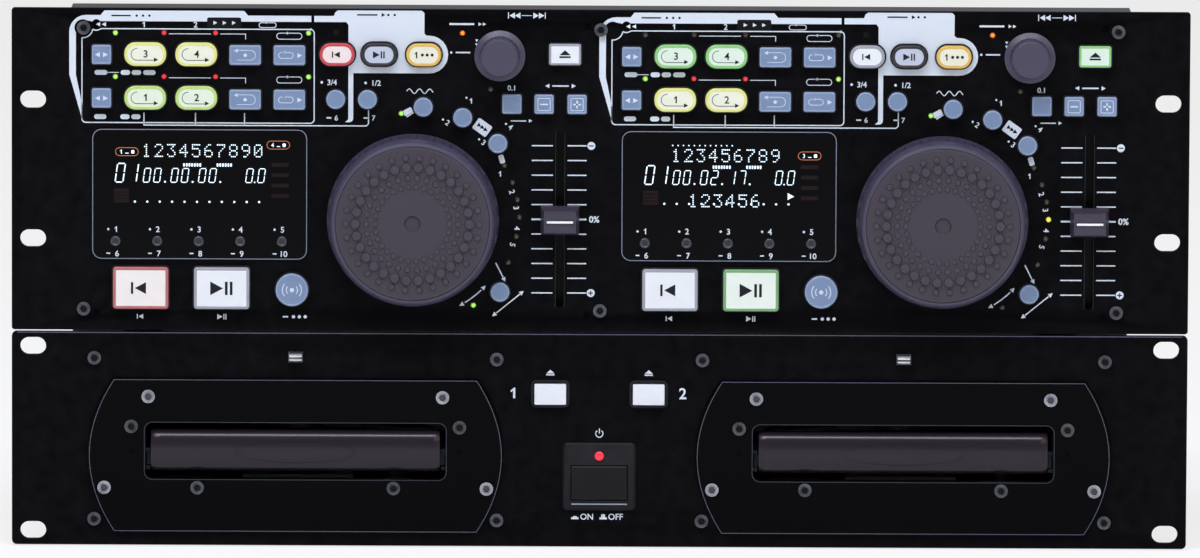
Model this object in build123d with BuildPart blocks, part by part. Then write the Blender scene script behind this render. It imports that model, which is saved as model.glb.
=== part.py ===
from build123d import *
import math
import os

# Twin disc player for rack use: a remote controller with two decks stands on a
# drive unit with two disc trays. All sizes are in millimetres.
# +X is to the right, -Y is the front and +Z is up. The origin is the middle of
# the underside, where the drive unit rests.

# ---------------------------------------------------------------- driving sizes
PANEL_W = 482.6
PANEL_T = 3.0
RACK_UNIT = 44.45
PANEL_RELIEF = 0.8
CONTROLLER_UNITS = 3
DRIVE_UNITS = 2
SLOT_SPACING_X = 465.1
SLOT_L = 10.6
SLOT_W = 7.2
CONTROLLER_SLOT_SPACING = 57.15
DRIVE_SLOT_SPACING = 76.2
CONTROLLER_CORNER_R = 1.2
DRIVE_CORNER_R = 2.0

CONTROLLER_CASE_W = 436.0
CONTROLLER_CASE_DEPTH = 44.0
DRIVE_CASE_W = 434.0
DRIVE_CASE_DEPTH = 250.0
SHEET_T = 1.2
CASE_INSET = 2.5
SOCKET_PROUD = 8.0
JOG_PROUD = 19.0

GAP = 0.3            # air between a moving piece and what it passes
SEAT = 0.2           # air where a sprung piece rests on its stop
RUN_FIT = 0.05       # radial air between a shaft and its bore
TRIM_FIT = 0.1       # air round a piece that is fitted into a hole

DECK_PITCH = 217.0   # from a feature of the left deck to its twin on the right deck
BAY_PITCH = 249.6    # between the middles of the two disc bays

# ---------------------------------------------------------------- worked out
CONTROLLER_H = CONTROLLER_UNITS * RACK_UNIT - PANEL_RELIEF
DRIVE_H = DRIVE_UNITS * RACK_UNIT - PANEL_RELIEF
CONTROLLER_Z = DRIVE_UNITS * RACK_UNIT
FACE_Y = (JOG_PROUD - PANEL_T - DRIVE_CASE_DEPTH - SOCKET_PROUD) / 2
BACK_Y = FACE_Y + PANEL_T
DECKS = (-DECK_PITCH / 2, DECK_PITCH / 2)
BAYS = (-BAY_PITCH / 2, BAY_PITCH / 2)

os.makedirs("parts", exist_ok=True)


def front(depth, x=0.0):
    """Plane facing the user, so many mm behind the panels' face (less is prouder)."""
    return Plane(origin=(x, FACE_Y + depth, 0), x_dir=(1, 0, 0), z_dir=(0, -1, 0))


def on_deck(deck, dx, h):
    """Place on a deck: dx from its middle line, h above the panel's lower edge."""
    return (deck + dx, CONTROLLER_Z + h)


def save(piece, name):
    """Label one finished piece and write it."""
    piece.part.label = name
    export_step(piece.part, f"parts/{name}.step")


# ---------------------------------------------------------------- the decks' layout
# dx and h of each control on a deck, measured from the deck's middle line and
# from the lower edge of the controller's panel.
FLIP_KEYS = [(-95.9, 113.7), (-95.9, 95.8)]
HOT_KEYS = [(-78.0, 113.9), (-57.1, 113.9), (-78.0, 96.0), (-57.1, 96.0)]
LOOP_WIDE_KEYS = [(-37.1, 113.7), (-19.0, 113.7), (-37.1, 95.4), (-19.0, 95.4)]
MODE_KEYS = [(0.5, 114.1), (17.7, 114.1), (36.0, 114.1)]
ROUND_KEYS = [(0.0, 95.6), (13.0, 95.6), (35.8, 92.6), (52.0, 88.3), (66.4, 77.7), (67.5, 16.5)]
PITCH_KEYS = [(72.1, 94.0), (85.3, 94.0), (98.8, 94.0)]
OPEN_KEY = (93.8, 114.5)
MENU_KEYS = [(-90.2, 36.8), (-73.1, 36.8), (-56.1, 36.8), (-39.1, 36.8), (-22.0, 36.8)]
CUE_KEY = (-79.8, 17.7)
PLAY_KEY = (-46.6, 17.7)
TAP_KEY = (-17.8, 17.1)
KNOB = (67.1, 113.8)
JOG = (31.7, 46.1)
FADER = (92.0, 46.2)
WINDOW_LEFT = -100.2
WINDOW_RIGHT = -11.3
WINDOW_LOW = 28.9
WINDOW_HIGH = 83.3
TUBE_LOW = 44.0
TUBE_HIGH = 80.5
TUBE_INSET = 5.0
LAMPS = [
    (-90.3, 122.4), (-90.3, 104.4), (-70.4, 122.5), (-49.3, 122.5), (-70.4, 104.5),
    (-49.3, 104.5), (-11.2, 122.6), (-11.2, 104.6), (51.8, 122.9), (63.4, 99.8),
    (26.8, 89.7), (69.1, 68.4), (72.4, 61.4), (74.5, 54.3), (75.3, 47.1),
    (74.1, 39.2), (70.9, 28.5), (56.6, 10.8),
]

# ---------------------------------------------------------------- key sizes
SMALL_KEY = 7.8
HOT_KEY_W = 17.0
HOT_KEY_H = 9.6
WIDE_KEY_W = 12.8
WIDE_KEY_H = 8.0
MODE_KEY_W = 14.2
MODE_KEY_H = 9.2
ROUND_KEY_D = 7.7
MENU_KEY_D = 4.0
OPEN_KEY_W = 13.0
OPEN_KEY_H = 8.6
CUE_KEY_W = 22.6
CUE_KEY_H = 17.0
TAP_KEY_D = 13.3
SMALL_CORNER = 0.8
WIDE_CORNER = 0.9
HOT_CORNER = 4.4
MODE_CORNER = 4.4
CUE_CORNER = 1.2
KEY_PROUD = 3.0
CUE_PROUD = 3.6
TAP_PROUD = 3.4
MENU_PROUD = 1.4
KEY_TRAVEL = 0.9
CUE_TRAVEL = 1.6
WELL_GAP = 0.2
RIM_W = 0.5
RIM_PROUD = 0.9
KEY_EDGE = 0.5
FLANGE_W = 0.9
FLANGE_T = 1.2

GUIDE_T = 2.0
GUIDE_W = 428.0
GUIDE_INSET = 5.0
BOARD_T = 1.6
BOARD_W = 420.0
BOARD_INSET = 8.0
STANDOFF_R = 2.4

GUIDE_BACK = PANEL_T + GUIDE_T
FLANGE_FRONT = GUIDE_BACK + SEAT
FLANGE_BACK = FLANGE_FRONT + FLANGE_T
BOARD_FRONT = FLANGE_BACK + CUE_TRAVEL + GAP + 1.5
LAMP_D = 2.3
LAMP_PROUD = 0.5


KEY_SIZES = {
    "small": (SMALL_KEY, SMALL_KEY, SMALL_CORNER),
    "hot": (HOT_KEY_W, HOT_KEY_H, HOT_CORNER),
    "wide": (WIDE_KEY_W, WIDE_KEY_H, WIDE_CORNER),
    "mode": (MODE_KEY_W, MODE_KEY_H, MODE_CORNER),
    "open": (OPEN_KEY_W, OPEN_KEY_H, WIDE_CORNER),
    "cue": (CUE_KEY_W, CUE_KEY_H, CUE_CORNER),
}
ROUND_SIZES = {"tap": TAP_KEY_D, "menu": MENU_KEY_D, "round": ROUND_KEY_D}


def shape_of(kind, grow=0.0, mode=Mode.ADD):
    """Draw one key's outline, grown all round, at the current Locations."""
    if kind in ROUND_SIZES:
        Circle(ROUND_SIZES[kind] / 2 + grow, mode=mode)
        return
    wide, tall, corner = KEY_SIZES[kind]
    RectangleRounded(wide + 2 * grow, tall + 2 * grow, corner + grow, mode=mode)


KEY_PLACES = {
    "small": FLIP_KEYS + PITCH_KEYS,
    "hot": HOT_KEYS,
    "wide": LOOP_WIDE_KEYS,
    "mode": MODE_KEYS,
    "open": [OPEN_KEY],
    "cue": [CUE_KEY, PLAY_KEY],
    "tap": [TAP_KEY],
    "menu": MENU_KEYS,
    "round": ROUND_KEYS,
}
TRAVEL = {"cue": CUE_TRAVEL, "tap": CUE_TRAVEL}


def spots(kind, decks=DECKS):
    """Every place of one kind of key."""
    return [on_deck(deck, *place) for deck in decks for place in KEY_PLACES[kind]]


def window_spots(low, high):
    """Middles of the two display windows, between two heights on the panel."""
    middle = (WINDOW_LEFT + WINDOW_RIGHT) / 2
    return [on_deck(deck, middle, (low + high) / 2) for deck in DECKS]


WINDOW_W = WINDOW_RIGHT - WINDOW_LEFT
WINDOW_H = WINDOW_HIGH - WINDOW_LOW
WINDOW_CORNER = 4.0

# ================================================================ controller, fixed pieces
CONTROLLER_MID = (0, CONTROLLER_Z + CONTROLLER_H / 2)
SLOT_PLACES = [
    (side * SLOT_SPACING_X / 2, CONTROLLER_MID[1] + up * CONTROLLER_SLOT_SPACING / 2)
    for side in (-1, 1)
    for up in (-1, 1)
]
RIM_GROW = WELL_GAP + RIM_W
HOLE_GROW = RIM_GROW + TRIM_FIT

JOG_R = 35.3
JOG_POST_R = 5.0
JOG_FLANGE_R = 12.0
JOG_WASHER_R = 8.0
JOG_WASHER_T = 1.2
KNOB_R = 8.3
KNOB_SKIRT_R = 10.4
BUSH_R = 4.5
BUSH_PROUD = 2.4
SHAFT_R = 3.0
ENCODER_W = 13.0
FADER_SLOT_L = 72.7
FADER_SLOT_W = 3.7
TRACK_W = 10.4
TRACK_L = 84.0
TRACK_T = 9.0
CHANNEL_W = 5.4
CHANNEL_L = 78.0
CHANNEL_D = 7.0

SCREW_HEAD_R = 2.75
SCREW_HEAD_T = 1.6
SCREW_SHANK_R = 1.4
SCREW_HOLE_R = 1.5
SOCKET_ACROSS = 2.6
CONTROLLER_SCREWS = [
    (side * 211.8, CONTROLLER_Z + h) for side in (-1, 0, 1) for h in (8.8, 124.5)
]
DIMPLE_R = 1.4
DIMPLE_DEPTH = 0.6
DIMPLE_STEP = 5.2
DIMPLES = [
    (side * 211.8 + (DIMPLE_STEP if side < 0 else -DIMPLE_STEP), CONTROLLER_Z + h)
    for side in (-1, 0, 1)
    for h in (6.8, 125.8)
]


def deck_spots(place):
    """One control's place on both decks."""
    return [on_deck(deck, *place) for deck in DECKS]


def lamp_spots():
    """Every indicator lamp on both decks."""
    return [on_deck(deck, *place) for deck in DECKS for place in LAMPS]


def cut_control_holes(key_grow, lamp_grow):
    """Cut the holes that the keys and lamps come through, in the open sketch."""
    for kind in KEY_PLACES:
        if kind == "menu":
            continue
        with Locations(*spots(kind)):
            shape_of(kind, key_grow, Mode.SUBTRACT)
    with Locations(*lamp_spots()):
        Circle(LAMP_D / 2 + lamp_grow, mode=Mode.SUBTRACT)
    with Locations(*deck_spots(FADER)):
        SlotOverall(FADER_SLOT_L, FADER_SLOT_W, rotation=90, mode=Mode.SUBTRACT)
    with Locations(*deck_spots(KNOB)):
        Circle(BUSH_R + TRIM_FIT, mode=Mode.SUBTRACT)
    with Locations(*deck_spots(JOG)):
        Circle(JOG_POST_R + TRIM_FIT, mode=Mode.SUBTRACT)


# Front panel with rack slots, key holes, window openings and fader slots.
with BuildPart() as controller_panel:
    with BuildSketch(front(PANEL_T)):
        with Locations(CONTROLLER_MID):
            RectangleRounded(PANEL_W, CONTROLLER_H, CONTROLLER_CORNER_R)
        with Locations(*SLOT_PLACES):
            SlotOverall(SLOT_L, SLOT_W, mode=Mode.SUBTRACT)
        cut_control_holes(HOLE_GROW, TRIM_FIT)
        with Locations(*window_spots(WINDOW_LOW, WINDOW_HIGH)):
            RectangleRounded(
                WINDOW_W + 2 * TRIM_FIT, WINDOW_H + 2 * TRIM_FIT, WINDOW_CORNER, mode=Mode.SUBTRACT
            )
        with Locations(*CONTROLLER_SCREWS):
            Circle(SCREW_HOLE_R, mode=Mode.SUBTRACT)
    extrude(amount=PANEL_T)
    with BuildSketch(front(0)):
        with Locations(*DIMPLES):
            Circle(DIMPLE_R)
    extrude(amount=-DIMPLE_DEPTH, mode=Mode.SUBTRACT)
save(controller_panel, "controller_panel")

# Moulded frame behind the panel: it guides the keys, and its rims stand round them.
GUIDE_H = CONTROLLER_H - 2 * GUIDE_INSET
with BuildPart() as key_frame:
    with BuildSketch(front(GUIDE_BACK)):
        with Locations(CONTROLLER_MID):
            Rectangle(GUIDE_W, GUIDE_H)
        cut_control_holes(WELL_GAP, TRIM_FIT)
        with Locations(*spots("menu")):
            Circle(MENU_KEY_D / 2 + WELL_GAP, mode=Mode.SUBTRACT)
        with Locations(*window_spots(TUBE_LOW, TUBE_HIGH)):
            Rectangle(WINDOW_W - 2 * TUBE_INSET, TUBE_HIGH - TUBE_LOW, mode=Mode.SUBTRACT)
    extrude(amount=GUIDE_T)
    for rim_kind in KEY_PLACES:
        if rim_kind == "menu":
            continue
        with BuildSketch(front(PANEL_T)):
            with Locations(*spots(rim_kind)):
                shape_of(rim_kind, RIM_GROW)
                shape_of(rim_kind, WELL_GAP, Mode.SUBTRACT)
        extrude(amount=PANEL_T + RIM_PROUD)
save(key_frame, "key_frame")

# Circuit board on standoffs, with a small switch behind every key.
BOARD_H = CONTROLLER_H - 2 * BOARD_INSET
STANDOFF_PLACES = [
    (-97.0, 22.0), (-30.0, 26.0), (45.0, 18.0), (81.0, 22.0),
    (-87.0, 86.5), (-48.0, 86.5), (24.0, 102.0), (79.0, 84.0),
]
STANDOFFS = [on_deck(deck, *place) for deck in DECKS for place in STANDOFF_PLACES]
SWITCH_R = 2.2
with BuildPart() as controller_board:
    with BuildSketch(front(BOARD_FRONT + BOARD_T)):
        with Locations(CONTROLLER_MID):
            Rectangle(BOARD_W, BOARD_H)
        with Locations(*deck_spots(FADER)):
            Rectangle(TRACK_W + 2 * GAP, TRACK_L + 2 * GAP, mode=Mode.SUBTRACT)
    extrude(amount=BOARD_T)
    with BuildSketch(front(BOARD_FRONT)):
        with Locations(*STANDOFFS):
            Circle(STANDOFF_R)
    extrude(amount=BOARD_FRONT - GUIDE_BACK)
    for switch_kind in KEY_PLACES:
        travel = TRAVEL.get(switch_kind, KEY_TRAVEL)
        with BuildSketch(front(BOARD_FRONT)):
            with Locations(*spots(switch_kind)):
                Circle(SWITCH_R)
        extrude(amount=BOARD_FRONT - FLANGE_BACK - travel - GAP)
save(controller_board, "controller_board")

# Smoked windows over the displays, with holes for the menu keys.
WINDOW_PROUD = 0.3
with BuildPart() as display_windows:
    with BuildSketch(front(PANEL_T)):
        with Locations(*window_spots(WINDOW_LOW, WINDOW_HIGH)):
            RectangleRounded(WINDOW_W, WINDOW_H, WINDOW_CORNER - TRIM_FIT)
        with Locations(*spots("menu")):
            Circle(MENU_KEY_D / 2 + WELL_GAP, mode=Mode.SUBTRACT)
    extrude(amount=PANEL_T + WINDOW_PROUD)
save(display_windows, "display_windows")

# Display modules on the board, seen through the frame's openings.
TUBE_GAP = 0.4
with BuildPart() as display_tubes:
    with BuildSketch(front(BOARD_FRONT)):
        with Locations(*window_spots(TUBE_LOW, TUBE_HIGH)):
            Rectangle(WINDOW_W - 2 * TUBE_INSET - 2 * TUBE_GAP, TUBE_HIGH - TUBE_LOW - 2 * TUBE_GAP)
    extrude(amount=BOARD_FRONT - PANEL_T - TUBE_GAP)
save(display_tubes, "display_tubes")

# Indicator lamps, each a domed lens whose stem stands on the board.
with BuildPart() as controller_lamps:
    with BuildSketch(front(BOARD_FRONT)):
        with Locations(*lamp_spots()):
            Circle(LAMP_D / 2)
    extrude(amount=BOARD_FRONT + LAMP_PROUD)
    chamfer(controller_lamps.faces().sort_by(Axis.Y)[: len(lamp_spots())].edges(), LAMP_PROUD * 0.7)
save(controller_lamps, "controller_lamps")

# Fader tracks: channels behind the panel that the fader carriages run in.
with BuildPart() as fader_tracks:
    with BuildSketch(front(GUIDE_BACK + TRACK_T)):
        with Locations(*deck_spots(FADER)):
            Rectangle(TRACK_W, TRACK_L)
    extrude(amount=TRACK_T)
    with BuildSketch(front(GUIDE_BACK + CHANNEL_D)):
        with Locations(*deck_spots(FADER)):
            Rectangle(CHANNEL_W, CHANNEL_L)
    extrude(amount=CHANNEL_D, mode=Mode.SUBTRACT)
save(fader_tracks, "fader_tracks")

# Fixed parts of the encoders: the jog wheels' posts and the track knobs' bushes.
ENCODER_T = BOARD_FRONT - GUIDE_BACK
JOG_POST_PROUD = JOG_PROUD - 6.0
KNOB_PUSH = 0.8
with BuildPart() as encoders:
    with BuildSketch(front(BOARD_FRONT)):
        with Locations(*deck_spots(JOG)):
            Circle(JOG_FLANGE_R)
        with Locations(*deck_spots(KNOB)):
            Rectangle(ENCODER_W, ENCODER_W)
    extrude(amount=ENCODER_T)
    with BuildSketch(front(GUIDE_BACK)):
        with Locations(*deck_spots(JOG)):
            Circle(JOG_POST_R)
    extrude(amount=GUIDE_BACK + JOG_POST_PROUD)
    with BuildSketch(front(0)):
        with Locations(*deck_spots(JOG)):
            Circle(JOG_WASHER_R)
    extrude(amount=JOG_WASHER_T)
    with BuildSketch(front(GUIDE_BACK)):
        with Locations(*deck_spots(KNOB)):
            Circle(BUSH_R)
    extrude(amount=GUIDE_BACK + BUSH_PROUD)
    with BuildSketch(front(BOARD_FRONT)):
        with Locations(*deck_spots(KNOB)):
            Circle(SHAFT_R + RUN_FIT)
    extrude(amount=BOARD_FRONT + BUSH_PROUD, mode=Mode.SUBTRACT)
save(encoders, "encoders")

# Sheet case behind the controller's panel.
CASE_H = CONTROLLER_H - 2 * CASE_INSET
with BuildPart() as controller_case:
    with BuildSketch(front(PANEL_T + CONTROLLER_CASE_DEPTH)):
        with Locations(CONTROLLER_MID):
            Rectangle(CONTROLLER_CASE_W, CASE_H)
    extrude(amount=CONTROLLER_CASE_DEPTH)
    with BuildSketch(front(PANEL_T + CONTROLLER_CASE_DEPTH - SHEET_T)):
        with Locations(CONTROLLER_MID):
            Rectangle(CONTROLLER_CASE_W - 2 * SHEET_T, CASE_H - 2 * SHEET_T)
    extrude(amount=CONTROLLER_CASE_DEPTH, mode=Mode.SUBTRACT)
    with BuildSketch(front(PANEL_T + CONTROLLER_CASE_DEPTH)):
        with Locations((0, CONTROLLER_Z + CONTROLLER_H / 2)):
            with GridLocations(12.0, 1, 9, 1):
                SlotOverall(30.0, 3.0, rotation=90)
    extrude(amount=SHEET_T, mode=Mode.SUBTRACT)
save(controller_case, "controller_case")

# Rubber feet between the controller's case and the drive unit's cover.
FOOT_R = 8.0
DRIVE_TOP = DRIVE_H - 1.6
with BuildPart() as controller_feet:
    with BuildSketch(Plane.XY.offset(DRIVE_TOP)):
        with Locations((0, BACK_Y + CONTROLLER_CASE_DEPTH / 2)):
            with GridLocations(CONTROLLER_CASE_W - 60, CONTROLLER_CASE_DEPTH - 26, 2, 2):
                Circle(FOOT_R)
    extrude(amount=CONTROLLER_Z + CASE_INSET - DRIVE_TOP)
save(controller_feet, "controller_feet")

# ================================================================ controller, moving pieces
def make_keys(piece, groups, proud=KEY_PROUD, top_fillet=KEY_EDGE):
    """Caps with flanges behind the frame, in the open part: groups of (kind, places)."""
    with BuildSketch(front(FLANGE_BACK)) as flange:
        for kind, places in groups:
            with Locations(*places):
                shape_of(kind, FLANGE_W)
    extrude(flange.sketch, amount=FLANGE_T)
    with BuildSketch(front(FLANGE_FRONT)) as cap:
        for kind, places in groups:
            with Locations(*places):
                shape_of(kind)
    extrude(cap.sketch, amount=FLANGE_FRONT + proud)
    tops = piece.faces().filter_by(Axis.Y).group_by(Axis.Y)[0]
    fillet(tops.edges(), top_fillet)


# Each deck's cue, play and tap keys are pieces of their own.
for number, deck in enumerate(DECKS, start=1):
    for key_name, kind, place, proud in (
        ("cue_key", "cue", CUE_KEY, CUE_PROUD),
        ("play_key", "cue", PLAY_KEY, CUE_PROUD),
        ("tap_key", "tap", TAP_KEY, TAP_PROUD),
    ):
        with BuildPart() as big_key:
            make_keys(big_key, [(kind, [on_deck(deck, *place)])], proud, 2 * KEY_EDGE)
        save(big_key, f"{key_name}_{number}")

# Small keys, as groups of like caps.
with BuildPart() as hot_start_keys:
    make_keys(hot_start_keys, [("hot", spots("hot"))])
save(hot_start_keys, "hot_start_keys")

with BuildPart() as track_keys:
    make_keys(track_keys, [("mode", spots("mode")), ("open", spots("open"))])
save(track_keys, "track_keys")

with BuildPart() as square_keys:
    make_keys(square_keys, [("small", spots("small")), ("wide", spots("wide"))])
save(square_keys, "square_keys")

with BuildPart() as round_keys:
    make_keys(round_keys, [("menu", spots("menu"))], MENU_PROUD)
    make_keys(round_keys, [("round", spots("round"))])
save(round_keys, "round_keys")

# Jog wheels: a ribbed cup that turns on its post, under a dimpled rubber pad.
JOG_LIFT = 0.6
JOG_RIM_R = 33.2
JOG_RIM_PROUD = JOG_PROUD - 1.1
PAD_T = 1.8
BUMP_RINGS = [(15.3, 2.3, 0.5), (18.9, 2.5, 0.6), (23.3, 4.3, 1.0), (27.3, 2.7, 0.7)]
JOG_DECK_FRONT = JOG_PROUD - PAD_T - max(ring[2] for ring in BUMP_RINGS)
JOG_DECK_BACK = JOG_DECK_FRONT - 2.8
JOG_SKIRT_INSIDE_R = 31.0
JOG_HUB_R = 9.0
PAD_R = 31.6
RIB_COUNT = 30
RIB_WINDOW_W = 4.4
RIB_WINDOW_D = 0.9
RIB_LOW = 3.0
RIB_HIGH = 13.0
BUMP_COUNT = 30
FINGER_R = 3.4
FINGER_DEPTH = 0.9


def turned(x, z):
    """Plane for a profile that is revolved about a front-to-back line: (radius, proud)."""
    return Plane(origin=(x, FACE_Y, z), x_dir=(1, 0, 0), z_dir=(0, 0, -1))


for number, deck in enumerate(DECKS, start=1):
    jog_x, jog_z = on_deck(deck, *JOG)
    jog_axis = Axis((jog_x, FACE_Y, jog_z), (0, -1, 0))
    bore_r = JOG_POST_R + RUN_FIT
    bore_end = JOG_POST_PROUD + GAP
    hub_low = JOG_WASHER_T + GAP
    with BuildPart() as jog_wheel:
        with BuildSketch(turned(jog_x, jog_z)):
            with BuildLine():
                Polyline(
                    (0, bore_end), (bore_r, bore_end), (bore_r, hub_low), (JOG_HUB_R, hub_low),
                    (JOG_HUB_R, JOG_DECK_BACK), (JOG_SKIRT_INSIDE_R, JOG_DECK_BACK),
                    (JOG_SKIRT_INSIDE_R, JOG_LIFT), (JOG_R, JOG_LIFT), (JOG_R, JOG_LIFT + 1.2),
                    (JOG_R - 0.9, RIB_HIGH + 0.8), (JOG_RIM_R, JOG_RIM_PROUD - 0.9),
                    (JOG_RIM_R - 0.9, JOG_RIM_PROUD), (PAD_R + TRIM_FIT, JOG_RIM_PROUD),
                    (PAD_R + TRIM_FIT, JOG_DECK_FRONT), (0, JOG_DECK_FRONT), close=True,
                )
            make_face()
        revolve(axis=jog_axis)
        with BuildSketch(front(-RIB_LOW)):
            with Locations((jog_x, jog_z)):
                with PolarLocations(JOG_R, RIB_COUNT):
                    Rectangle(2 * RIB_WINDOW_D + 1.0, RIB_WINDOW_W)
        extrude(amount=RIB_HIGH - RIB_LOW, mode=Mode.SUBTRACT)
    save(jog_wheel, f"jog_wheel_{number}")

    pad_front = JOG_DECK_FRONT + PAD_T
    with BuildPart() as jog_pad:
        with BuildSketch(front(-JOG_DECK_FRONT)):
            with Locations((jog_x, jog_z)):
                Circle(PAD_R)
        extrude(amount=PAD_T)
        fillet(jog_pad.faces().sort_by(Axis.Y)[0].edges(), KEY_EDGE)
        for ring_r, bump_d, bump_t in BUMP_RINGS:
            with BuildSketch(front(-pad_front)):
                with Locations((jog_x, jog_z)):
                    with PolarLocations(ring_r, BUMP_COUNT):
                        Circle(bump_d / 2)
            extrude(amount=bump_t, taper=20)
        with BuildSketch(front(-pad_front)):
            with Locations((jog_x, jog_z)):
                Circle(FINGER_R)
        extrude(amount=-FINGER_DEPTH, taper=30, mode=Mode.SUBTRACT)
    save(jog_pad, f"jog_pad_{number}")

# Pitch faders: a cap on a blade whose carriage runs in the track behind the panel.
FADER_CAP_W = 15.8
FADER_CAP_H = 11.6
FADER_CAP_LIFT = 0.8
FADER_CAP_PROUD = 10.0
FADER_CAP_BASE = 3.0
FADER_TAPER = 12
FADER_LINE_W = 12.4
FADER_LINE_H = 1.5
FADER_LINE_T = 0.4
BLADE_W = 2.4
BLADE_H = 5.6
CARRIAGE_W = CHANNEL_W - 2 * GAP
CARRIAGE_H = 9.0
CARRIAGE_T = 4.0
CARRIAGE_FRONT = GUIDE_BACK + GAP
for number, deck in enumerate(DECKS, start=1):
    fader_at = on_deck(deck, *FADER)
    with BuildPart() as pitch_fader:
        with BuildSketch(front(CARRIAGE_FRONT + CARRIAGE_T)):
            with Locations(fader_at):
                Rectangle(CARRIAGE_W, CARRIAGE_H)
        extrude(amount=CARRIAGE_T)
        with BuildSketch(front(CARRIAGE_FRONT)):
            with Locations(fader_at):
                Rectangle(BLADE_W, BLADE_H)
        extrude(amount=CARRIAGE_FRONT + FADER_CAP_LIFT)
        with BuildSketch(front(-FADER_CAP_LIFT)):
            with Locations(fader_at):
                RectangleRounded(FADER_CAP_W, FADER_CAP_H, KEY_EDGE)
        extrude(amount=FADER_CAP_BASE)
        with BuildSketch(front(-FADER_CAP_LIFT - FADER_CAP_BASE)):
            with Locations(fader_at):
                RectangleRounded(FADER_CAP_W, FADER_CAP_H, KEY_EDGE)
        extrude(amount=FADER_CAP_PROUD - FADER_CAP_LIFT - FADER_CAP_BASE, taper=FADER_TAPER)
        with BuildSketch(front(-FADER_CAP_PROUD)):
            with Locations(fader_at):
                Rectangle(FADER_LINE_W, FADER_LINE_H)
        extrude(amount=FADER_LINE_T)
    save(pitch_fader, f"pitch_fader_{number}")

# Track knobs: the knob turns on a shaft, and the shaft is pushed through its bush.
KNOB_LIFT = 1.2
KNOB_SKIRT_TOP = 3.4
KNOB_PROUD = 14.0
KNOB_TOP_R = 7.9
KNOB_HOLLOW_R = BUSH_R + 0.9
KNOB_HOLLOW_TOP = BUSH_PROUD + KNOB_PUSH + GAP
SHAFT_PROUD = 11.0
GRIP_COUNT = 28
GRIP_R = 0.5
for number, deck in enumerate(DECKS, start=1):
    knob_x, knob_z = on_deck(deck, *KNOB)
    shaft_back = BOARD_FRONT - KNOB_PUSH - GAP
    with BuildPart() as knob_shaft:
        with BuildSketch(front(shaft_back)):
            with Locations((knob_x, knob_z)):
                Circle(SHAFT_R)
        extrude(amount=shaft_back + SHAFT_PROUD)
    save(knob_shaft, f"knob_shaft_{number}")

    shaft_bore = SHAFT_R + RUN_FIT
    with BuildPart() as track_knob:
        with BuildSketch(turned(knob_x, knob_z)):
            with BuildLine():
                Polyline(
                    (0, SHAFT_PROUD + GAP), (shaft_bore, SHAFT_PROUD + GAP),
                    (shaft_bore, KNOB_HOLLOW_TOP), (KNOB_HOLLOW_R, KNOB_HOLLOW_TOP),
                    (KNOB_HOLLOW_R, KNOB_LIFT), (KNOB_SKIRT_R, KNOB_LIFT),
                    (KNOB_SKIRT_R, KNOB_SKIRT_TOP - 0.7), (KNOB_R, KNOB_SKIRT_TOP + 0.4),
                    (KNOB_TOP_R, KNOB_PROUD - 0.8), (KNOB_TOP_R - 0.8, KNOB_PROUD),
                    (0, KNOB_PROUD), close=True,
                )
            make_face()
        revolve(axis=Axis((knob_x, FACE_Y, knob_z), (0, -1, 0)))
        with BuildSketch(front(-KNOB_SKIRT_TOP - 0.8)):
            with Locations((knob_x, knob_z)):
                with PolarLocations(KNOB_R + 0.1, GRIP_COUNT):
                    Circle(GRIP_R)
        extrude(amount=KNOB_PROUD, mode=Mode.SUBTRACT)
    save(track_knob, f"track_knob_{number}")

# ================================================================ drive unit, fixed pieces
DRIVE_MID = (0, DRIVE_H / 2)
DRIVE_SLOTS = [
    (side * SLOT_SPACING_X / 2, DRIVE_MID[1] + up * DRIVE_SLOT_SPACING / 2)
    for side in (-1, 1)
    for up in (-1, 1)
]
MOUTH_W = 123.4
MOUTH_LOW = 27.7
MOUTH_HIGH = 50.8
MOUTH_CORNER = 3.0
MOUTH_H = MOUTH_HIGH - MOUTH_LOW
MOUTH_MID = (MOUTH_LOW + MOUTH_HIGH) / 2
BEZEL_T = 2.0
BEZEL_TOP = 69.2
BEZEL_LOW = 5.5
BEZEL_TOP_HALF = 75.0
BEZEL_LOW_HALF = 73.0
BEZEL_MID_HALF = 85.3
BEZEL_EDGE = 0.6
DRIVE_KEY_H = 63.3
DRIVE_KEY_X = 20.2
DRIVE_KEY_RIM = 1.2
DRIVE_KEY_TRAVEL = 1.6
POWER_W = 30.0
POWER_LOW = 15.1
POWER_HIGH = 43.1
POWER_CORNER = 2.0
POWER_PROUD = 1.6
BUTTON_W = 23.0
BUTTON_LOW = 19.6
BUTTON_HIGH = 33.6
BUTTON_PROUD = 2.2
BUTTON_TRAVEL = 3.0
POWER_LAMP_R = 1.5
POWER_LAMP_Z = 37.8
POWER_MID = (0, (POWER_LOW + POWER_HIGH) / 2)
BUTTON_MID = (0, (BUTTON_LOW + BUTTON_HIGH) / 2)
PANEL_SCREWS = [(82.6, 77.4), (-82.6, 77.4), (82.7, 10.8), (-82.7, 10.8)]
BEZEL_SCREWS = [(67.4, 49.4), (-67.4, 49.4), (40.3, 24.1), (-40.3, 24.1)]
BRIGHT_SCREWS = [(60.4, 61.8), (-60.4, 61.8), (78.5, 24.1), (-78.5, 24.1)]
BEZEL_BUMPS = [(67.3, 39.2), (-67.3, 39.2)]
CLIP_PLACE = (0, 78.1)
CLIP_W = 6.0
CLIP_H = 4.4


def bay_spots(places):
    """Places of a list of (x from the bay's middle, z), on both bays."""
    return [(bay + x, z) for bay in BAYS for x, z in places]


def drive_key_spots():
    """Middles of the two tray keys, left first."""
    return [(-DRIVE_KEY_X, DRIVE_KEY_H), (DRIVE_KEY_X, DRIVE_KEY_H)]


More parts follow.
